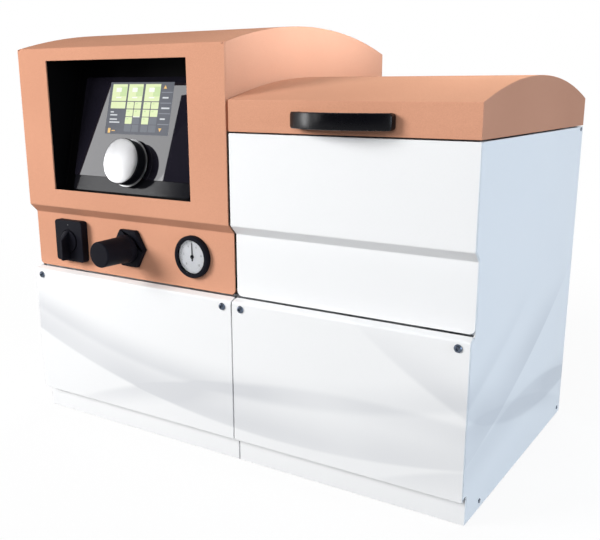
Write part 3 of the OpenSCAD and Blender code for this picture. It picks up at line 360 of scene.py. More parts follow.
def buildPrintBands(bands, fade):  # soft grey arcs that run round the front and the sides
    tree, given, put = newGroup("printBands", [("Vector", "NodeSocketVector")], [("Mask", "NodeSocketFloat")])
    parts = tree.nodes.new("ShaderNodeSeparateXYZ")
    tree.links.new(given["Vector"], parts.inputs[0])
    sideways, depth, height = parts.outputs
    unrolled = tree.nodes.new("ShaderNodeCombineXYZ")
    tree.links.new(addMath(tree, "ADD", sideways, depth), unrolled.inputs[0])
    tree.links.new(height, unrolled.inputs[1])
    total = None
    for band in bands:
        reach = addVectorMath(tree, "DISTANCE", unrolled.outputs[0], (*band["centre"], 0))
        off = addMath(tree, "SUBTRACT", reach, band["radius"])
        rise = addRange(tree, off, -band["soft"], 0, 0, 1, smooth=True)
        fall = addRange(tree, off, 0, band["sharp"], 1, 0, smooth=True)
        ribbon = addMath(tree, "MULTIPLY", addMath(tree, "MULTIPLY", rise, fall), band["strength"])
        total = ribbon if total is None else addMath(tree, "ADD", total, ribbon)
    foot = addRange(tree, height, *fade["foot"], fade["footShare"], 1, smooth=True)
    head = addRange(tree, height, *fade["head"], 1, 0, smooth=True)
    patches = addNoise(tree, unrolled.outputs[0], fade["cloudScale"], detail=2)
    cloud = addRange(tree, patches, *fade["cloud"], fade["cloudShare"], 1)
    for share in (foot, head, cloud):
        total = addMath(tree, "MULTIPLY", total, share)
    tree.links.new(addMath(tree, "MINIMUM", total, 1), put["Mask"])
    return tree


groups = {
    "paintGrain": buildPaintGrain(grainSettings),
    "smudge": buildSmudge(smudgeSettings),
    "brushed": buildBrushed(brushedSettings),
    "spun": buildSpun(spunSettings),
    "castSkin": buildCastSkin(castSettings),
    "printBands": buildPrintBands(bandSettings, fadeSettings),
}
print("shader groups built:", len(groups))


# materials
def newMaterial(name, plain):
    material = bpy.data.materials.new(name)
    material.use_nodes = True
    tree = material.node_tree
    shader = tree.nodes["Principled BSDF"]
    for label, value in plain.items():
        shader.inputs[label].default_value = value
    place = tree.nodes.new("ShaderNodeTexCoord")
    return material, tree, shader, place.outputs["Object"]


def placeGroup(tree, name, vector, scale=None):
    node = tree.nodes.new("ShaderNodeGroup")
    node.node_tree = groups[name]
    tree.links.new(vector, node.inputs["Vector"])
    if scale is not None:
        node.inputs["Scale"].default_value = scale
    return node.outputs


def addBump(tree, shader, height, strength, depth):
    bump = tree.nodes.new("ShaderNodeBump")
    bump.inputs["Strength"].default_value = strength
    bump.inputs["Distance"].default_value = depth
    tree.links.new(height, bump.inputs["Height"])
    tree.links.new(bump.outputs[0], shader.inputs["Normal"])


def turned(tree, vector, centre, tilt):  # pattern centred on a piece and turned to its axis
    mapping = tree.nodes.new("ShaderNodeMapping")
    mapping.vector_type = "TEXTURE"
    mapping.inputs["Location"].default_value = centre
    mapping.inputs["Rotation"].default_value = (tilt, 0, 0)
    tree.links.new(vector, mapping.inputs["Vector"])
    return mapping.outputs[0]


def colourFrom(tree, shader, share, dark, light):
    tree.links.new(mixColours(tree, share, dark, light), shader.inputs["Base Color"])


def roughFrom(tree, shader, tone, rough, toneRange=(0, 1)):
    tree.links.new(addRange(tree, tone, *toneRange, *rough), shader.inputs["Roughness"])


lacquerIor = 1.5
paintSkin = {"smudge": 9, "depth": 0.0003}
paintSettings = {
    "copper": {"name": "copperPaint", "dark": (0.542, 0.255, 0.160, 1), "light": (0.769, 0.392, 0.257, 1),
               "rough": (0.46, 0.56), "grain": 900, "strength": 0.22, "gloss": 0.0},
    "white": {"name": "whitePaint", "dark": (0.845, 0.85, 0.855, 1), "light": (0.88, 0.885, 0.89, 1),
              "rough": (0.36, 0.46), "grain": 620, "strength": 0.10, "gloss": 0.4},
}
paintSettings["printed"] = {**paintSettings["white"], "name": "whitePrinted", "band": (0.66, 0.67, 0.69, 1)}
plasticSkin = {"smudge": 22, "depth": 0.0002}
plasticSettings = {
    "moulded": {"name": "mouldedBlack", "dark": (0.0055, 0.0055, 0.0085, 1),
                "light": (0.0115, 0.0115, 0.0165, 1), "rough": (0.46, 0.58),
                "grain": 1500, "strength": 0.12, "gloss": 0.045},
    "handle": {"name": "handleBlack", "dark": (0.0016, 0.0016, 0.0026, 1),
               "light": (0.0032, 0.0032, 0.0048, 1), "rough": (0.22, 0.30),
               "grain": 900, "strength": 0.04, "gloss": 0.15},
    "recess": {"name": "recessBlack", "dark": (0.0012, 0.0012, 0.0016, 1),
               "light": (0.0026, 0.0026, 0.0032, 1), "rough": (0.5, 0.6),
               "grain": 1200, "strength": 0.10, "gloss": 0.06},
    "panel": {"name": "panelBlack", "dark": (0.0060, 0.0060, 0.0085, 1),
              "light": (0.0105, 0.0106, 0.0135, 1), "rough": (0.06, 0.10),
              "grain": 1400, "strength": 0.05, "gloss": 0.17},
    "grey": {"name": "greyPlastic", "dark": (0.10, 0.105, 0.11, 1), "light": (0.14, 0.145, 0.15, 1),
             "rough": (0.42, 0.55), "grain": 1100, "strength": 0.12, "gloss": 0.45},
    "silicone": {"name": "siliconeSeal", "dark": (0.30, 0.055, 0.030, 1), "light": (0.36, 0.075, 0.045, 1),
                 "rough": (0.5, 0.65), "grain": 500, "strength": 0.15, "gloss": 0.4},
}


def coatFinish(coat, skin):  # paint or plastic: a grained skin with faint handling marks
    plain = {"IOR": lacquerIor, "Specular IOR Level": coat["gloss"]}
    material, tree, shader, place = newMaterial(coat["name"], plain)
    grain = placeGroup(tree, "paintGrain", place, coat["grain"])
    colour = mixColours(tree, grain["Tone"], coat["dark"], coat["light"])
    if "band" in coat:
        mask = placeGroup(tree, "printBands", place)["Mask"]
        colour = mixColours(tree, mask, colour, coat["band"])
    tree.links.new(colour, shader.inputs["Base Color"])
    smudge = placeGroup(tree, "smudge", place, skin["smudge"])
    roughFrom(tree, shader, smudge["Tone"], coat["rough"])
    addBump(tree, shader, grain["Height"], coat["strength"], skin["depth"])
    return material


metalSkin = {"smudge": 16, "depth": 0.0002}
metalSettings = {
    "zinc": {"name": "zincSheet", "dark": (0.42, 0.43, 0.45, 1), "light": (0.60, 0.61, 0.63, 1),
             "rough": (0.32, 0.50), "pattern": "castSkin", "scale": 70, "strength": 0.05},
    "steel": {"name": "brightSteel", "dark": (0.40, 0.40, 0.41, 1), "light": (0.56, 0.56, 0.57, 1),
              "rough": (0.24, 0.38), "pattern": "brushed", "scale": 900, "strength": 0.08},
    "cast": {"name": "castAluminium", "dark": (0.32, 0.32, 0.33, 1), "light": (0.46, 0.46, 0.47, 1),
             "rough": (0.48, 0.66), "pattern": "castSkin", "scale": 420, "strength": 0.35},
    "nickel": {"name": "nickelFitting", "dark": (0.52, 0.50, 0.46, 1), "light": (0.66, 0.63, 0.58, 1),
               "rough": (0.16, 0.28), "pattern": "brushed", "scale": 1200, "strength": 0.05},
    "darkScrew": {"name": "darkScrew", "dark": (0.085, 0.105, 0.145, 1), "light": (0.13, 0.155, 0.20, 1),
                  "rough": (0.30, 0.42), "pattern": "castSkin", "scale": 900, "strength": 0.10},
}


def metalFinish(metal, skin):
    material, tree, shader, place = newMaterial(metal["name"], {"Metallic": 1})
    pattern = placeGroup(tree, metal["pattern"], place, metal["scale"])
    colourFrom(tree, shader, pattern["Tone"], metal["dark"], metal["light"])
    smudge = placeGroup(tree, "smudge", place, skin["smudge"])
    roughFrom(tree, shader, smudge["Tone"], metal["rough"])
    addBump(tree, shader, pattern["Height"], metal["strength"], skin["depth"])
    return material


panelTilt = radians(75)  # turns a flat drawing into the leaning operator panel
knobSettings = {
    "centre": (-0.1422, -0.159983, 0.336773), "dark": (0.40, 0.40, 0.41, 1), "light": (0.58, 0.58, 0.59, 1),
    "rough": (0.26, 0.38), "toneRange": (0.2, 0.8), "rings": 2600, "strength": 0.16, "depth": 0.0002,
}


def spunFinish(settings):  # bright face and ring of the big knob
    material, tree, shader, place = newMaterial("spunTrim", {"Metallic": 1})
    centred = turned(tree, place, settings["centre"], panelTilt)
    skin = placeGroup(tree, "spun", centred, settings["rings"])
    colourFrom(tree, shader, skin["Tone"], settings["dark"], settings["light"])
    roughFrom(tree, shader, skin["Tone"], settings["rough"], settings["toneRange"])
    addBump(tree, shader, skin["Height"], settings["strength"], settings["depth"])
    return material


glassSettings = {
    "dark": (0.0100, 0.0090, 0.0150, 1), "light": (0.0120, 0.0108, 0.0175, 1), "rough": (0.004, 0.018),
    "smudge": 18, "ior": 1.52, "gloss": 0.48,
}


def glassFinish(settings):  # deep black glass front
    plain = {"IOR": settings["ior"], "Specular IOR Level": settings["gloss"]}
    material, tree, shader, place = newMaterial("blackGlass", plain)
    smudge = placeGroup(tree, "smudge", place, settings["smudge"])
    colourFrom(tree, shader, smudge["Tone"], settings["dark"], settings["light"])
    roughFrom(tree, shader, smudge["Tone"], settings["rough"])
    return material


lensSettings = {"smudge": 40, "rough": (0.0, 0.04), "ior": 1.08}


def lensFinish(settings):  # thin clear window of the gauge
    plain = {"Transmission Weight": 1, "IOR": settings["ior"], "Base Color": (1, 1, 1, 1)}
    material, tree, shader, place = newMaterial("clearLens", plain)
    smudge = placeGroup(tree, "smudge", place, settings["smudge"])
    roughFrom(tree, shader, smudge["Tone"], settings["rough"])
    return material


dialSettings = {
    "dark": (0.52, 0.535, 0.565, 1), "light": (0.59, 0.605, 0.635, 1), "rough": (0.45, 0.6), "grain": 2200,
}


def dialFinish(settings):  # pale enamel behind the pointer
    material, tree, shader, place = newMaterial("dialEnamel", {"IOR": lacquerIor})
    grain = placeGroup(tree, "paintGrain", place, settings["grain"])
    colourFrom(tree, shader, grain["Tone"], settings["dark"], settings["light"])
    roughFrom(tree, shader, grain["Tone"], settings["rough"])
    return material


glowPlain = {"strength": 1, "tone": 0.02, "gloss": 0.25, "smudge": 24, "rough": (0.35, 0.5)}
glowSettings = {
    "screen": {"name": "screenGlow", "dark": (0.100, 0.108, 0.132, 1), "light": (0.118, 0.126, 0.152, 1)},
    "tile": {"name": "tileGlow", "dark": (0.74, 0.84, 0.46, 1), "light": (0.80, 0.90, 0.54, 1)},
    "tileShade": {"name": "tileShade", "dark": (0.57, 0.73, 0.36, 1), "light": (0.63, 0.79, 0.42, 1)},
    "icon": {"name": "iconGlow", "dark": (0.90, 0.93, 0.84, 1), "light": (0.96, 0.97, 0.92, 1)},
    "cell": {"name": "cellGlow", "dark": (0.152, 0.166, 0.194, 1), "light": (0.172, 0.186, 0.216, 1)},
    "rule": {"name": "ruleGlow", "dark": (0.230, 0.242, 0.280, 1), "light": (0.250, 0.262, 0.300, 1)},
    "mark": {"name": "markGlow", "dark": (0.62, 0.65, 0.68, 1), "light": (0.74, 0.76, 0.78, 1)},
    "amber": {"name": "amberGlow", "dark": (0.88, 0.52, 0.15, 1), "light": (0.95, 0.60, 0.20, 1)},
    # the gauge's red limit ink is no lamp: its red is emitted, a painted glow over a grey base
    "red": {"name": "redInkPaintedGlow", "dark": (0.40, 0.03, 0.02, 1), "light": (0.46, 0.045, 0.03, 1),
            "strength": 0.35, "tone": 0.3},
}


def glowFinish(glow):  # lit display colours, a little uneven like a backlight
    settings = {**glowPlain, **glow}
    tone = settings["tone"]
    plain = {"Emission Strength": settings["strength"], "Specular IOR Level": settings["gloss"],
             "Base Color": (tone, tone, tone, 1)}
    material, tree, shader, place = newMaterial(settings["name"], plain)
    smudge = placeGroup(tree, "smudge", place, settings["smudge"])
    colour = mixColours(tree, smudge["Tone"], settings["dark"], settings["light"])
    tree.links.new(colour, shader.inputs["Emission Color"])
    roughFrom(tree, shader, smudge["Tone"], settings["rough"])
    return material


boardSettings = {
    "tracks": {"Scale": 90, "Mortar Size": 0.03, "Color1": (0.012, 0.10, 0.045, 1),
               "Color2": (0.016, 0.125, 0.055, 1), "Mortar": (0.035, 0.17, 0.07, 1)},
    "smudge": 14, "rough": (0.3, 0.45), "strength": 0.2, "depth": 0.0001,
}


def boardFinish(settings):  # green board with copper tracks under the lacquer
    material, tree, shader, place = newMaterial("circuitBoard", {"IOR": lacquerIor})
    tracks = tree.nodes.new("ShaderNodeTexBrick")
    for label, value in settings["tracks"].items():
        tracks.inputs[label].default_value = value
    tree.links.new(turned(tree, place, (0, 0, 0), pi / 2), tracks.inputs["Vector"])
    tree.links.new(tracks.outputs["Color"], shader.inputs["Base Color"])
    smudge = placeGroup(tree, "smudge", place, settings["smudge"])
    roughFrom(tree, shader, smudge["Tone"], settings["rough"])
    addBump(tree, shader, tracks.outputs["Fac"], settings["strength"], settings["depth"])
    return material


mineralSettings = {
    "dark": (0.50, 0.46, 0.38, 1), "light": (0.62, 0.58, 0.50, 1), "rough": (0.8, 0.95),
    "heightRange": (0.2, 1.1), "grain": 260, "gloss": 0.15, "strength": 0.5, "depth": 0.0005,
}


def mineralFinish(settings):  # pressed fibre of the tank's insulation
    material, tree, shader, place = newMaterial("mineralBoard", {"Specular IOR Level": settings["gloss"]})
    skin = placeGroup(tree, "castSkin", place, settings["grain"])
    colourFrom(tree, shader, skin["Tone"], settings["dark"], settings["light"])
    roughFrom(tree, shader, skin["Height"], settings["rough"], settings["heightRange"])
    addBump(tree, shader, skin["Height"], settings["strength"], settings["depth"])
    return material


finishes = {
    "spun": spunFinish(knobSettings),
    "glass": glassFinish(glassSettings),
    "lens": lensFinish(lensSettings),
    "dial": dialFinish(dialSettings),
    "board": boardFinish(boardSettings),
    "mineral": mineralFinish(mineralSettings),
}
for finish, paint in paintSettings.items():
    finishes[finish] = coatFinish(paint, paintSkin)
for finish, plastic in plasticSettings.items():
    finishes[finish] = coatFinish(plastic, plasticSkin)
for finish, metal in metalSettings.items():
    finishes[finish] = metalFinish(metal, metalSkin)
for finish, glow in glowSettings.items():
    finishes[finish] = glowFinish(glow)
print("materials built:", len(finishes))


# every listed CAD node gets its finish, and soft edges or kept creases
nodeFinish = {
    "copper": ["tower_front_panel", "tower_hood", "lid_shell"],
    "white": ["tank_front_panel", "rear_panel", "left_plinth", "right_plinth"],
    "printed": ["left_lower_panel", "right_lower_panel", "left_side_panel", "right_side_panel"],
    "recess": ["recess_box"],
    "panel": ["operator_panel", "knob_body"],
    "glass": ["operator_glass"],
    "screen": ["display_screen"],
    "moulded": ["switch_plate", "switch_knob", "regulator_nut", "regulator_knob", "gauge_bezel",
                "gauge_case", "gauge_pointer"],
    "handle": ["lid_handle"],
    "grey": ["switch_body", "regulator_body", "encoder_body", "rear_sockets"],
    "spun": ["knob_trim"],
    "steel": ["encoder_plunger", "encoder_shaft", "regulator_spindle", "tank_posts", "pump_tie_rods",
              "pump_rod", "heater_cartridges", "port_bushes", "filter_plug", "hinge_pins",
              "lid_hinge_leaves", "cabinet_hinge_leaves"],
    "zinc": ["base_plate", "bulkhead", "front_rail", "lid_liner", "tank_collar", "electronics_plate"],
    "cast": ["melt_tank", "manifold_block", "pump_body", "air_cylinder"],
    "nickel": ["rear_entries"],
    "darkScrew": ["left_panel_screws", "right_panel_screws", "side_screws"],
    "dial": ["gauge_dial"],
    "lens": ["gauge_lens"],
    "silicone": ["lid_seal"],
    "mineral": ["tank_insulation"],
    "board": ["power_board"],
}
softEdges = {  # width in metres
    0.0006: ["tower_front_panel", "tower_hood", "lid_shell", "tank_front_panel", "left_lower_panel",
             "right_lower_panel", "left_side_panel", "right_side_panel", "rear_panel"],
    0.0010: ["switch_plate", "switch_knob", "regulator_nut", "rear_sockets"],
    0.0005: ["recess_box", "left_plinth", "right_plinth", "lid_liner", "manifold_block", "pump_body",
             "air_cylinder", "rear_entries", "regulator_knob", "gauge_bezel"],
    0.0003: ["left_panel_screws", "right_panel_screws", "port_bushes", "filter_plug", "lid_hinge_leaves",
             "cabinet_hinge_leaves", "knob_body", "knob_trim"],
}
edgeSettings = {  # angles in degrees
    "weld": 0.000002, "flat": 0.2, "sharp": 38, "crease": 32, "segments": 2, "faceWeight": 90,
}


def finishNode(name, finish):
    piece = nodes[name]
    piece.data.materials.clear()
    piece.data.materials.append(finishes[finish])
    piece.data.polygons.foreach_set("use_smooth", [True] * len(piece.data.polygons))
    weld = piece.modifiers.new("closeSeams", "WELD")
    weld.merge_threshold = edgeSettings["weld"]


def softenEdges(name, width):
    piece = nodes[name]
    flat = piece.modifiers.new("flatFaces", "DECIMATE")
    flat.decimate_type = "DISSOLVE"
    flat.angle_limit = radians(edgeSettings["flat"])
    bevel = piece.modifiers.new("softEdges", "BEVEL")
    bevel.width = width
    bevel.segments = edgeSettings["segments"]
    bevel.limit_method = "ANGLE"
    bevel.angle_limit = radians(edgeSettings["sharp"])
    bevel.use_clamp_overlap = False
    bevel.loop_slide = False
    shading = piece.modifiers.new("flatShading", "WEIGHTED_NORMAL")
    shading.weight = edgeSettings["faceWeight"]


def keepCreases(name):
    split = nodes[name].modifiers.new("keepCreases", "EDGE_SPLIT")
    split.split_angle = radians(edgeSettings["crease"])


softened = {name: width for width, names in softEdges.items() for name in names}
for finish, names in nodeFinish.items():
    for name in names:
        finishNode(name, finish)
        if name in softened:
            softenEdges(name, softened[name])
        else:
            keepCreases(name)
print("nodes finished:", sum(len(names) for names in nodeFinish.values()))


# modelling helpers
def clearSelection():
    if bpy.context.object is not None and bpy.context.object.mode != "OBJECT":
        bpy.ops.object.mode_set(mode="OBJECT")
    bpy.ops.object.select_all(action="DESELECT")


def namePiece(name):
    piece = bpy.context.object
    piece.name = name
    piece.data.name = name
    return piece


def pickFaces(piece, wanted):
    bpy.ops.object.mode_set(mode="EDIT")
    bpy.ops.mesh.select_mode(type="FACE")
    bpy.ops.mesh.select_all(action="DESELECT")
    bpy.ops.object.mode_set(mode="OBJECT")
    for face in piece.data.polygons:
        face.select = wanted(face)
    bpy.ops.object.mode_set(mode="EDIT")


def pickEdges(piece, wanted):
    bpy.ops.object.mode_set(mode="EDIT")
    bpy.ops.mesh.select_mode(type="EDGE")
    bpy.ops.mesh.select_all(action="DESELECT")
    bpy.ops.object.mode_set(mode="OBJECT")
    points = piece.data.vertices
    for edge in piece.data.edges:
        first, second = (points[i].co for i in edge.vertices)
        edge.select = wanted(first, second)
    bpy.ops.object.mode_set(mode="EDIT")


def joinPieces(pieces, name):
    clearSelection()
    for piece in pieces:
        piece.select_set(True)
    bpy.context.view_layer.objects.active = pieces[0]
    if len(pieces) > 1:
        bpy.ops.object.join()
    return namePiece(name)


def settlePiece(piece, place, turn):  # the place goes into the mesh
    clearSelection()
    piece.select_set(True)
    bpy.context.view_layer.objects.active = piece
    piece.location = place
    piece.rotation_euler = turn
    bpy.ops.object.transform_apply(location=True, rotation=True, scale=True)


def giveFinish(piece, finish, body):
    piece.data.materials.clear()
    piece.data.materials.append(finishes[finish])
    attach(piece, body)


def thicken(height):  # pulls the selected face up into a thin plate
    bpy.ops.mesh.extrude_region_move(TRANSFORM_OT_translate={"value": (0, 0, height)})
    bpy.ops.object.mode_set(mode="OBJECT")


plateCornerSegments = 3


def roundedPlate(width, height, radius, centre, lift, thickness):
    clearSelection()
    bpy.ops.mesh.primitive_plane_add(size=1, location=(0, 0, 0))
    plate = bpy.context.object
    plate.scale = (width, height, 1)
    bpy.ops.object.transform_apply(location=False, rotation=False, scale=True)
    bpy.ops.object.mode_set(mode="EDIT")
    bpy.ops.mesh.select_all(action="SELECT")
    thicken(thickness)
    if radius:
        pickEdges(plate, lambda first, second: abs(first.z - second.z) > thickness / 2)
        bpy.ops.mesh.bevel(offset=radius, segments=plateCornerSegments, affect="EDGES")
        bpy.ops.object.mode_set(mode="OBJECT")
    plate.location = (*centre, lift)
    bpy.ops.object.transform_apply(location=True, rotation=False, scale=False)
    return plate


smoothBelow = radians(35)  # flatter edges than this shade as one surface


def roundEdges(piece, width, segments, sharp):
    bevel = piece.modifiers.new("edges", "BEVEL")
    bevel.width = width
    bevel.segments = segments
    bevel.limit_method = "ANGLE"
    bevel.angle_limit = radians(sharp)
    bpy.ops.object.modifier_apply(modifier=bevel.name)
    bpy.ops.object.shade_smooth_by_angle(angle=smoothBelow)


# lid handle: a section spun along the bow, with feet drawn down to the lid
handleSettings = {
    "centre": (0.16175, -0.11744), "radius": 0.09456, "thickness": 0.008, "halfWidth": 0.0555,
    "low": 0.386, "high": 0.402, "lidFace": -0.185, "footWidth": 0.013, "steps": 36,
    "corner": 0.0036, "cornerSegments": 5, "edge": 0.0016, "edgeSegments": 4, "sharp": 35,
}


def buildHandle(settings):
    nearFace, nearPoint, mergeGap = 0.0005, 0.00002, 0.00001
    nearUpright, nearTurn = 0.1, 0.05
    clearSelection()
    middleX, middleY = settings["centre"]
    middle = settings["radius"] - settings["thickness"] / 2
    height = settings["high"] - settings["low"]
    halfSweep = asin(settings["halfWidth"] / settings["radius"])
    endReach = middle * sin(halfSweep)
    bpy.ops.mesh.primitive_plane_add(size=1, location=(0, 0, 0))
    handle = namePiece("lidHandle")
    handle.scale = (settings["thickness"], height, 1)
    handle.rotation_euler = (pi / 2, 0, -pi / 2 - halfSweep)
    handle.location = (middleX - endReach, middleY - middle * cos(halfSweep), settings["low"] + height / 2)
    bpy.ops.object.transform_apply(location=True, rotation=True, scale=True)
    bpy.ops.object.mode_set(mode="EDIT")
    bpy.ops.mesh.select_all(action="SELECT")
    bpy.ops.mesh.spin(
        steps=settings["steps"], angle=-2 * halfSweep, center=(middleX, middleY, 0), axis=(0, 0, 1))
    bpy.ops.object.mode_set(mode="OBJECT")
    pickFaces(handle, lambda face: True)
    bpy.ops.mesh.remove_doubles(threshold=mergeGap)
    bpy.ops.mesh.normals_make_consistent(inside=False)
    bpy.ops.object.mode_set(mode="OBJECT")

    def closesBow(face, side):
        isThere = abs(face.center.x - middleX - side * endReach) < nearFace
        facesOut = abs(abs(face.normal.x) - cos(halfSweep)) < nearTurn and abs(face.normal.z) < nearUpright
        return len(face.vertices) == 4 and isThere and facesOut

    def isOutermost(point):
        return abs(abs(point.x - middleX) - settings["halfWidth"]) < nearPoint

    for side in (-1, 1):
        pickFaces(handle, lambda face: closesBow(face, side))
        bpy.ops.mesh.extrude_region_move(TRANSFORM_OT_translate={"value": (0, settings["thickness"] / 2, 0)})
        bpy.ops.object.mode_set(mode="OBJECT")
        for corner in handle.data.vertices:
            if corner.select:
                isFar = abs(corner.co.x - middleX) > endReach
                reach = settings["halfWidth"] - (0 if isFar else settings["footWidth"])
                corner.co.x = middleX + side * reach
                corner.co.y = settings["lidFace"]
    pickEdges(handle, lambda first, second: abs(first.z - second.z) < mergeGap
              and isOutermost(first) and isOutermost(second))
    bpy.ops.mesh.bevel(offset=settings["corner"], segments=settings["cornerSegments"], affect="EDGES")
    bpy.ops.object.mode_set(mode="OBJECT")
    roundEdges(handle, settings["edge"], settings["edgeSegments"], settings["sharp"])
    giveFinish(handle, "handle", "lid")
    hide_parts("lid_handle")
    print("handle:", len(handle.data.polygons), "faces")


buildHandle(handleSettings)


# display: plain tiles, marks and arrows on the lit screen, placed by shares of its width and height
displaySettings = {
    "place": (-0.1422, -0.14277, 0.401008), "width": 0.102, "height": 0.063,
    "plate": 0.00012, "layer": 0.00006, "corner": 0.0005,
    "bigTiles": [(0.043, 0.279), (0.305, 0.531), (0.567, 0.801)], "bigRow": (0.638, 0.962),
    "shade": {"from": 0.55, "margin": 0.004, "foot": 0.09, "head": 0.05, "corner": 0.0004},
    "picture": {"across": (0.26, 0.62), "below": (0.15, 0.07), "corner": 0.0003},
    "caption": {"across": (0.30, 0.66), "above": (0.055, 0.080), "corner": 0.0002},
    "smallTiles": [(0.305, 0.414), (0.426, 0.531), (0.567, 0.674), (0.687, 0.801)],
    "rows": [(0.494, 0.622), (0.345, 0.478), (0.201, 0.332), (0.054, 0.188)],
    "lit": [(0, 1, 2, 3), (0, 1, 2, 3), (0, 2), ()],
    "fleck": {"across": (0.018, 0.05), "below": (0.045, 0.022), "corner": 0.0001},
    "chosen": (1, 1), "underline": 0.014,
    "leftBars": {"from": 0.052, "half": 0.012, "corner": 0.0002,
                 "bars": [(0.425, 0.055), (0.368, 0.115), (0.285, 0.120), (0.228, 0.165)]},
    "rightBars": {"from": 0.848, "half": 0.014, "corner": 0.0002,
                  "bars": [(0.706, 0.088), (0.510, 0.124), (0.308, 0.076)]},
    "rules": {"across": (0.824, 0.990), "half": 0.008, "heights": (0.806, 0.606, 0.410, 0.208)},
    "lamp": {"across": (0.046, 0.086), "up": (0.018, 0.112), "corner": 0.0008},
    "lampBar": {"across": (0.108, 0.162), "up": (0.056, 0.074), "corner": 0.0002},
    "arrows": [(0.870, 0.897, 0), (0.868, 0.112, pi)], "arrowRadius": 0.0028,
}


def buildDisplay(settings):
    made = {"tile": [], "tileShade": [], "icon": [], "cell": [], "rule": [], "mark": [], "amber": []}
    layer = settings["layer"]

    def spot(across, up):
        return (across - 0.5) * settings["width"], (up - 0.5) * settings["height"]

    def plate(finish, across, up, corner=settings["corner"], lift=0):
        width = (across[1] - across[0]) * settings["width"]
        height = (up[1] - up[0]) * settings["height"]
        centre = spot(sum(across) / 2, sum(up) / 2)
        made[finish].append(roundedPlate(width, height, corner, centre, lift, settings["plate"]))

    def inTile(left, right, shares):
        return [left + share * (right - left) for share in shares]

    def arrow(across, up, turn):
        clearSelection()
        bpy.ops.mesh.primitive_circle_add(
            vertices=3, radius=settings["arrowRadius"], fill_type="NGON", location=(0, 0, 0))
        head = bpy.context.object
        bpy.ops.object.mode_set(mode="EDIT")
        thicken(settings["plate"])
        settlePiece(head, (*spot(across, up), 0), (0, 0, turn))
        made["amber"].append(head)

    def wordBars(group):
        for up, length in group["bars"]:
            across = (group["from"], group["from"] + length)
            plate("mark", across, (up - group["half"], up + group["half"]), group["corner"])

    low, high = settings["bigRow"]
    shade, picture, caption = settings["shade"], settings["picture"], settings["caption"]
    for left, right in settings["bigTiles"]:
        plate("tile", (left, right), (low, high))
        plate("tileShade", (left + shade["from"] * (right - left), right - shade["margin"]),
              (low + shade["foot"], high - shade["head"]), shade["corner"], layer)
        plate("icon", inTile(left, right, picture["across"]), [high - drop for drop in picture["below"]],
              picture["corner"], 2 * layer)
        plate("icon", inTile(left, right, caption["across"]), [low + rise for rise in caption["above"]],
              caption["corner"], layer)
    plate("tile", settings["bigTiles"][0], settings["rows"][0])
    fleck = settings["fleck"]
    for (low, high), litColumns in zip(settings["rows"], settings["lit"]):
        for column, (left, right) in enumerate(settings["smallTiles"]):
            plate("tile" if column in litColumns else "cell", (left, right), (low, high))
            if column in litColumns:
                plate("tileShade", [left + inset for inset in fleck["across"]],
                      [high - drop for drop in fleck["below"]], fleck["corner"], layer)
    chosenRow, chosenColumn = settings["chosen"]
    low = settings["rows"][chosenRow][0]
    plate("icon", settings["smallTiles"][chosenColumn], (low - settings["underline"], low), 0, 2 * layer)
    wordBars(settings["leftBars"])
    rules = settings["rules"]
    for up in rules["heights"]:
        plate("rule", rules["across"], (up - rules["half"], up + rules["half"]), 0)
    wordBars(settings["rightBars"])
    for lamp in (settings["lamp"], settings["lampBar"]):
        plate("amber", lamp["across"], lamp["up"], lamp["corner"])
    for across, up, turn in settings["arrows"]:
        arrow(across, up, turn)
    for finish, plates in made.items():
        layerPiece = joinPieces(plates, "display" + finish[0].upper() + finish[1:])
        settlePiece(layerPiece, settings["place"], (panelTilt, 0, 0))
        giveFinish(layerPiece, finish, "cabinet")
    print("display:", sum(len(plates) for plates in made.values()), "plates")


buildDisplay(displaySettings)


# gauge scale: ticks, plain numbers and a red limit mark whose red is a painted glow, with angles in degrees
# from the top
gaugeSettings = {
    "place": (-0.0375, -0.1775, 0.238), "sweep": 135, "steps": 40, "longEvery": 4, "redFrom": 108,
    "tickReach": 0.0183, "longTick": (0.00042, 0.0026), "shortTick": (0.00024, 0.0014), "tickHeight": 0.00008,
    "numbers": [0, 2, 4, 6, 8, 10], "numberReach": 0.0128, "numberSize": 0.0034, "numberHeight": 0.00004,
}


def buildGaugeScale(settings):
    ticks = []
    reds = []
    sweep = settings["sweep"]

    def spot(reach, turn, lift):
        return -reach * sin(turn), reach * cos(turn), lift

    for step in range(settings["steps"] + 1):
        angle = sweep - 2 * sweep * step / settings["steps"]
        turn = radians(angle)
        isLong = step % settings["longEvery"] == 0
        width, length = settings["longTick" if isLong else "shortTick"]
        tick = roundedPlate(width, length, 0, (0, 0), 0, settings["tickHeight"])
        settlePiece(tick, spot(settings["tickReach"] - length / 2, turn, 0), (0, 0, turn))
        isRed = -angle >= settings["redFrom"]
        (reds if isRed else ticks).append(tick)
    for index, number in enumerate(settings["numbers"]):
        clearSelection()
        bpy.ops.object.text_add(location=(0, 0, 0))
        label = bpy.context.object
        label.data.body = str(number)
        label.data.size = settings["numberSize"]
        label.data.align_x = "CENTER"
        label.data.align_y = "CENTER"
        label.data.extrude = settings["numberHeight"]
        bpy.ops.object.convert(target="MESH")
        turn = radians(sweep - 2 * sweep * index / (len(settings["numbers"]) - 1))
        place = spot(settings["numberReach"], turn, settings["numberHeight"])
        settlePiece(bpy.context.object, place, (0, 0, 0))
        ticks.append(bpy.context.object)
    # the red limit mark takes the red ink material, whose colour is a painted glow
    for finish, marks, name in (("grey", ticks, "gaugeScale"), ("red", reds, "gaugeLimit")):
        scale = joinPieces(marks, name)
        settlePiece(scale, settings["place"], (pi / 2, 0, 0))
        giveFinish(scale, finish, "cabinet")
    print("gauge scale:", len(ticks) + len(reds), "marks")


buildGaugeScale(gaugeSettings)


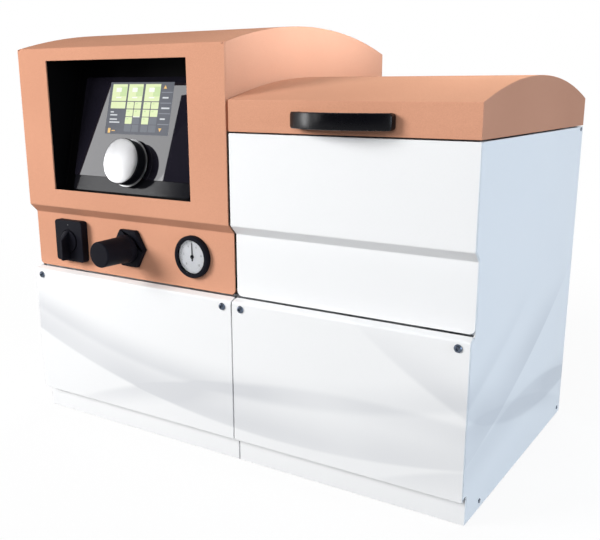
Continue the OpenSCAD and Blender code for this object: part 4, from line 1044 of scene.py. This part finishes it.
# switch lever: a thin grip fin on a low hub, with its heel clear of the plate
leverSettings = {
    "place": (-0.2325, -0.185, 0.238), "thickness": 0.0046, "front": 0.013, "top": 0.0138, "bottom": 0.0230,
    "shoulder": 0.0020, "slopeEnd": 0.0018, "back": 0.0006, "heelTop": -0.009, "heelOut": 0.006, "taper": 0.7,
    "hubRadius": 0.0133, "hubSunk": 0.0025, "hubRise": 0.0012, "hubSides": 48, "crown": 0.0004, "rim": 0.0018,
    "edge": 0.0005, "edgeSegments": 3, "sharp": 30,
}


def buildSwitchLever(settings):
    nearFront, facingFront = 0.0001, 0.9
    clearSelection()
    front, back = settings["front"], settings["back"]
    top, bottom = settings["top"], settings["bottom"]
    bpy.ops.mesh.primitive_cube_add(size=1, location=(0, -(front + back) / 2, (top - bottom) / 2))
    fin = bpy.context.object
    fin.scale = (settings["thickness"], front - back, top + bottom)
    bpy.ops.object.transform_apply(location=True, rotation=False, scale=True)
    shoulder, heelTop = settings["shoulder"], settings["heelTop"]
    slope = (0, shoulder - top, front - settings["slopeEnd"])
    heel = (0, bottom + heelTop, back - settings["heelOut"])
    for point, facing in (((0, -front, shoulder), slope), ((0, -back, heelTop), heel)):
        bpy.ops.object.mode_set(mode="EDIT")
        bpy.ops.mesh.select_all(action="SELECT")
        bpy.ops.mesh.bisect(plane_co=point, plane_no=facing, use_fill=True, clear_outer=True)
        bpy.ops.object.mode_set(mode="OBJECT")
    for corner in fin.data.vertices:
        if corner.co.y < nearFront - front:
            corner.co.x *= settings["taper"]
    clearSelection()
    rise, sunk = settings["hubRise"], settings["hubSunk"]
    bpy.ops.mesh.primitive_cylinder_add(
        vertices=settings["hubSides"], radius=settings["hubRadius"], depth=rise + sunk,
        location=(0, (sunk - rise) / 2, 0), rotation=(pi / 2, 0, 0))
    hub = bpy.context.object
    bpy.ops.object.transform_apply(location=True, rotation=True, scale=True)
    pickFaces(hub, lambda face: face.normal.y < -facingFront)
    bpy.ops.mesh.inset(thickness=settings["rim"], depth=settings["crown"])
    bpy.ops.object.mode_set(mode="OBJECT")
    lever = joinPieces([fin, hub], "switchLever")
    roundEdges(lever, settings["edge"], settings["edgeSegments"], settings["sharp"])
    settlePiece(lever, settings["place"], (0, 0, 0))
    giveFinish(lever, "moulded", "switch_lever")
    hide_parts("switch_knob")
    print("switch lever:", len(lever.data.polygons), "faces")


buildSwitchLever(leverSettings)


# switch index: a small pale pointer mark on the plate
indexSettings = {"place": (-0.2325, -0.185, 0.2585), "radius": 0.0016, "rim": 0.0003, "height": 0.00015}


def buildSwitchIndex(settings):
    clearSelection()
    bpy.ops.mesh.primitive_circle_add(
        vertices=3, radius=settings["radius"], fill_type="NGON", location=(0, 0, 0))
    index = namePiece("switchIndex")
    bpy.ops.object.mode_set(mode="EDIT")
    bpy.ops.mesh.inset(thickness=settings["rim"], depth=0)
    thicken(settings["height"])
    settlePiece(index, (0, 0, 0), (0, 0, pi))  # tip down, then upright on the plate
    settlePiece(index, settings["place"], (pi / 2, 0, 0))
    giveFinish(index, "grey", "cabinet")
    print("switch index placed")


buildSwitchIndex(indexSettings)


clearSelection()
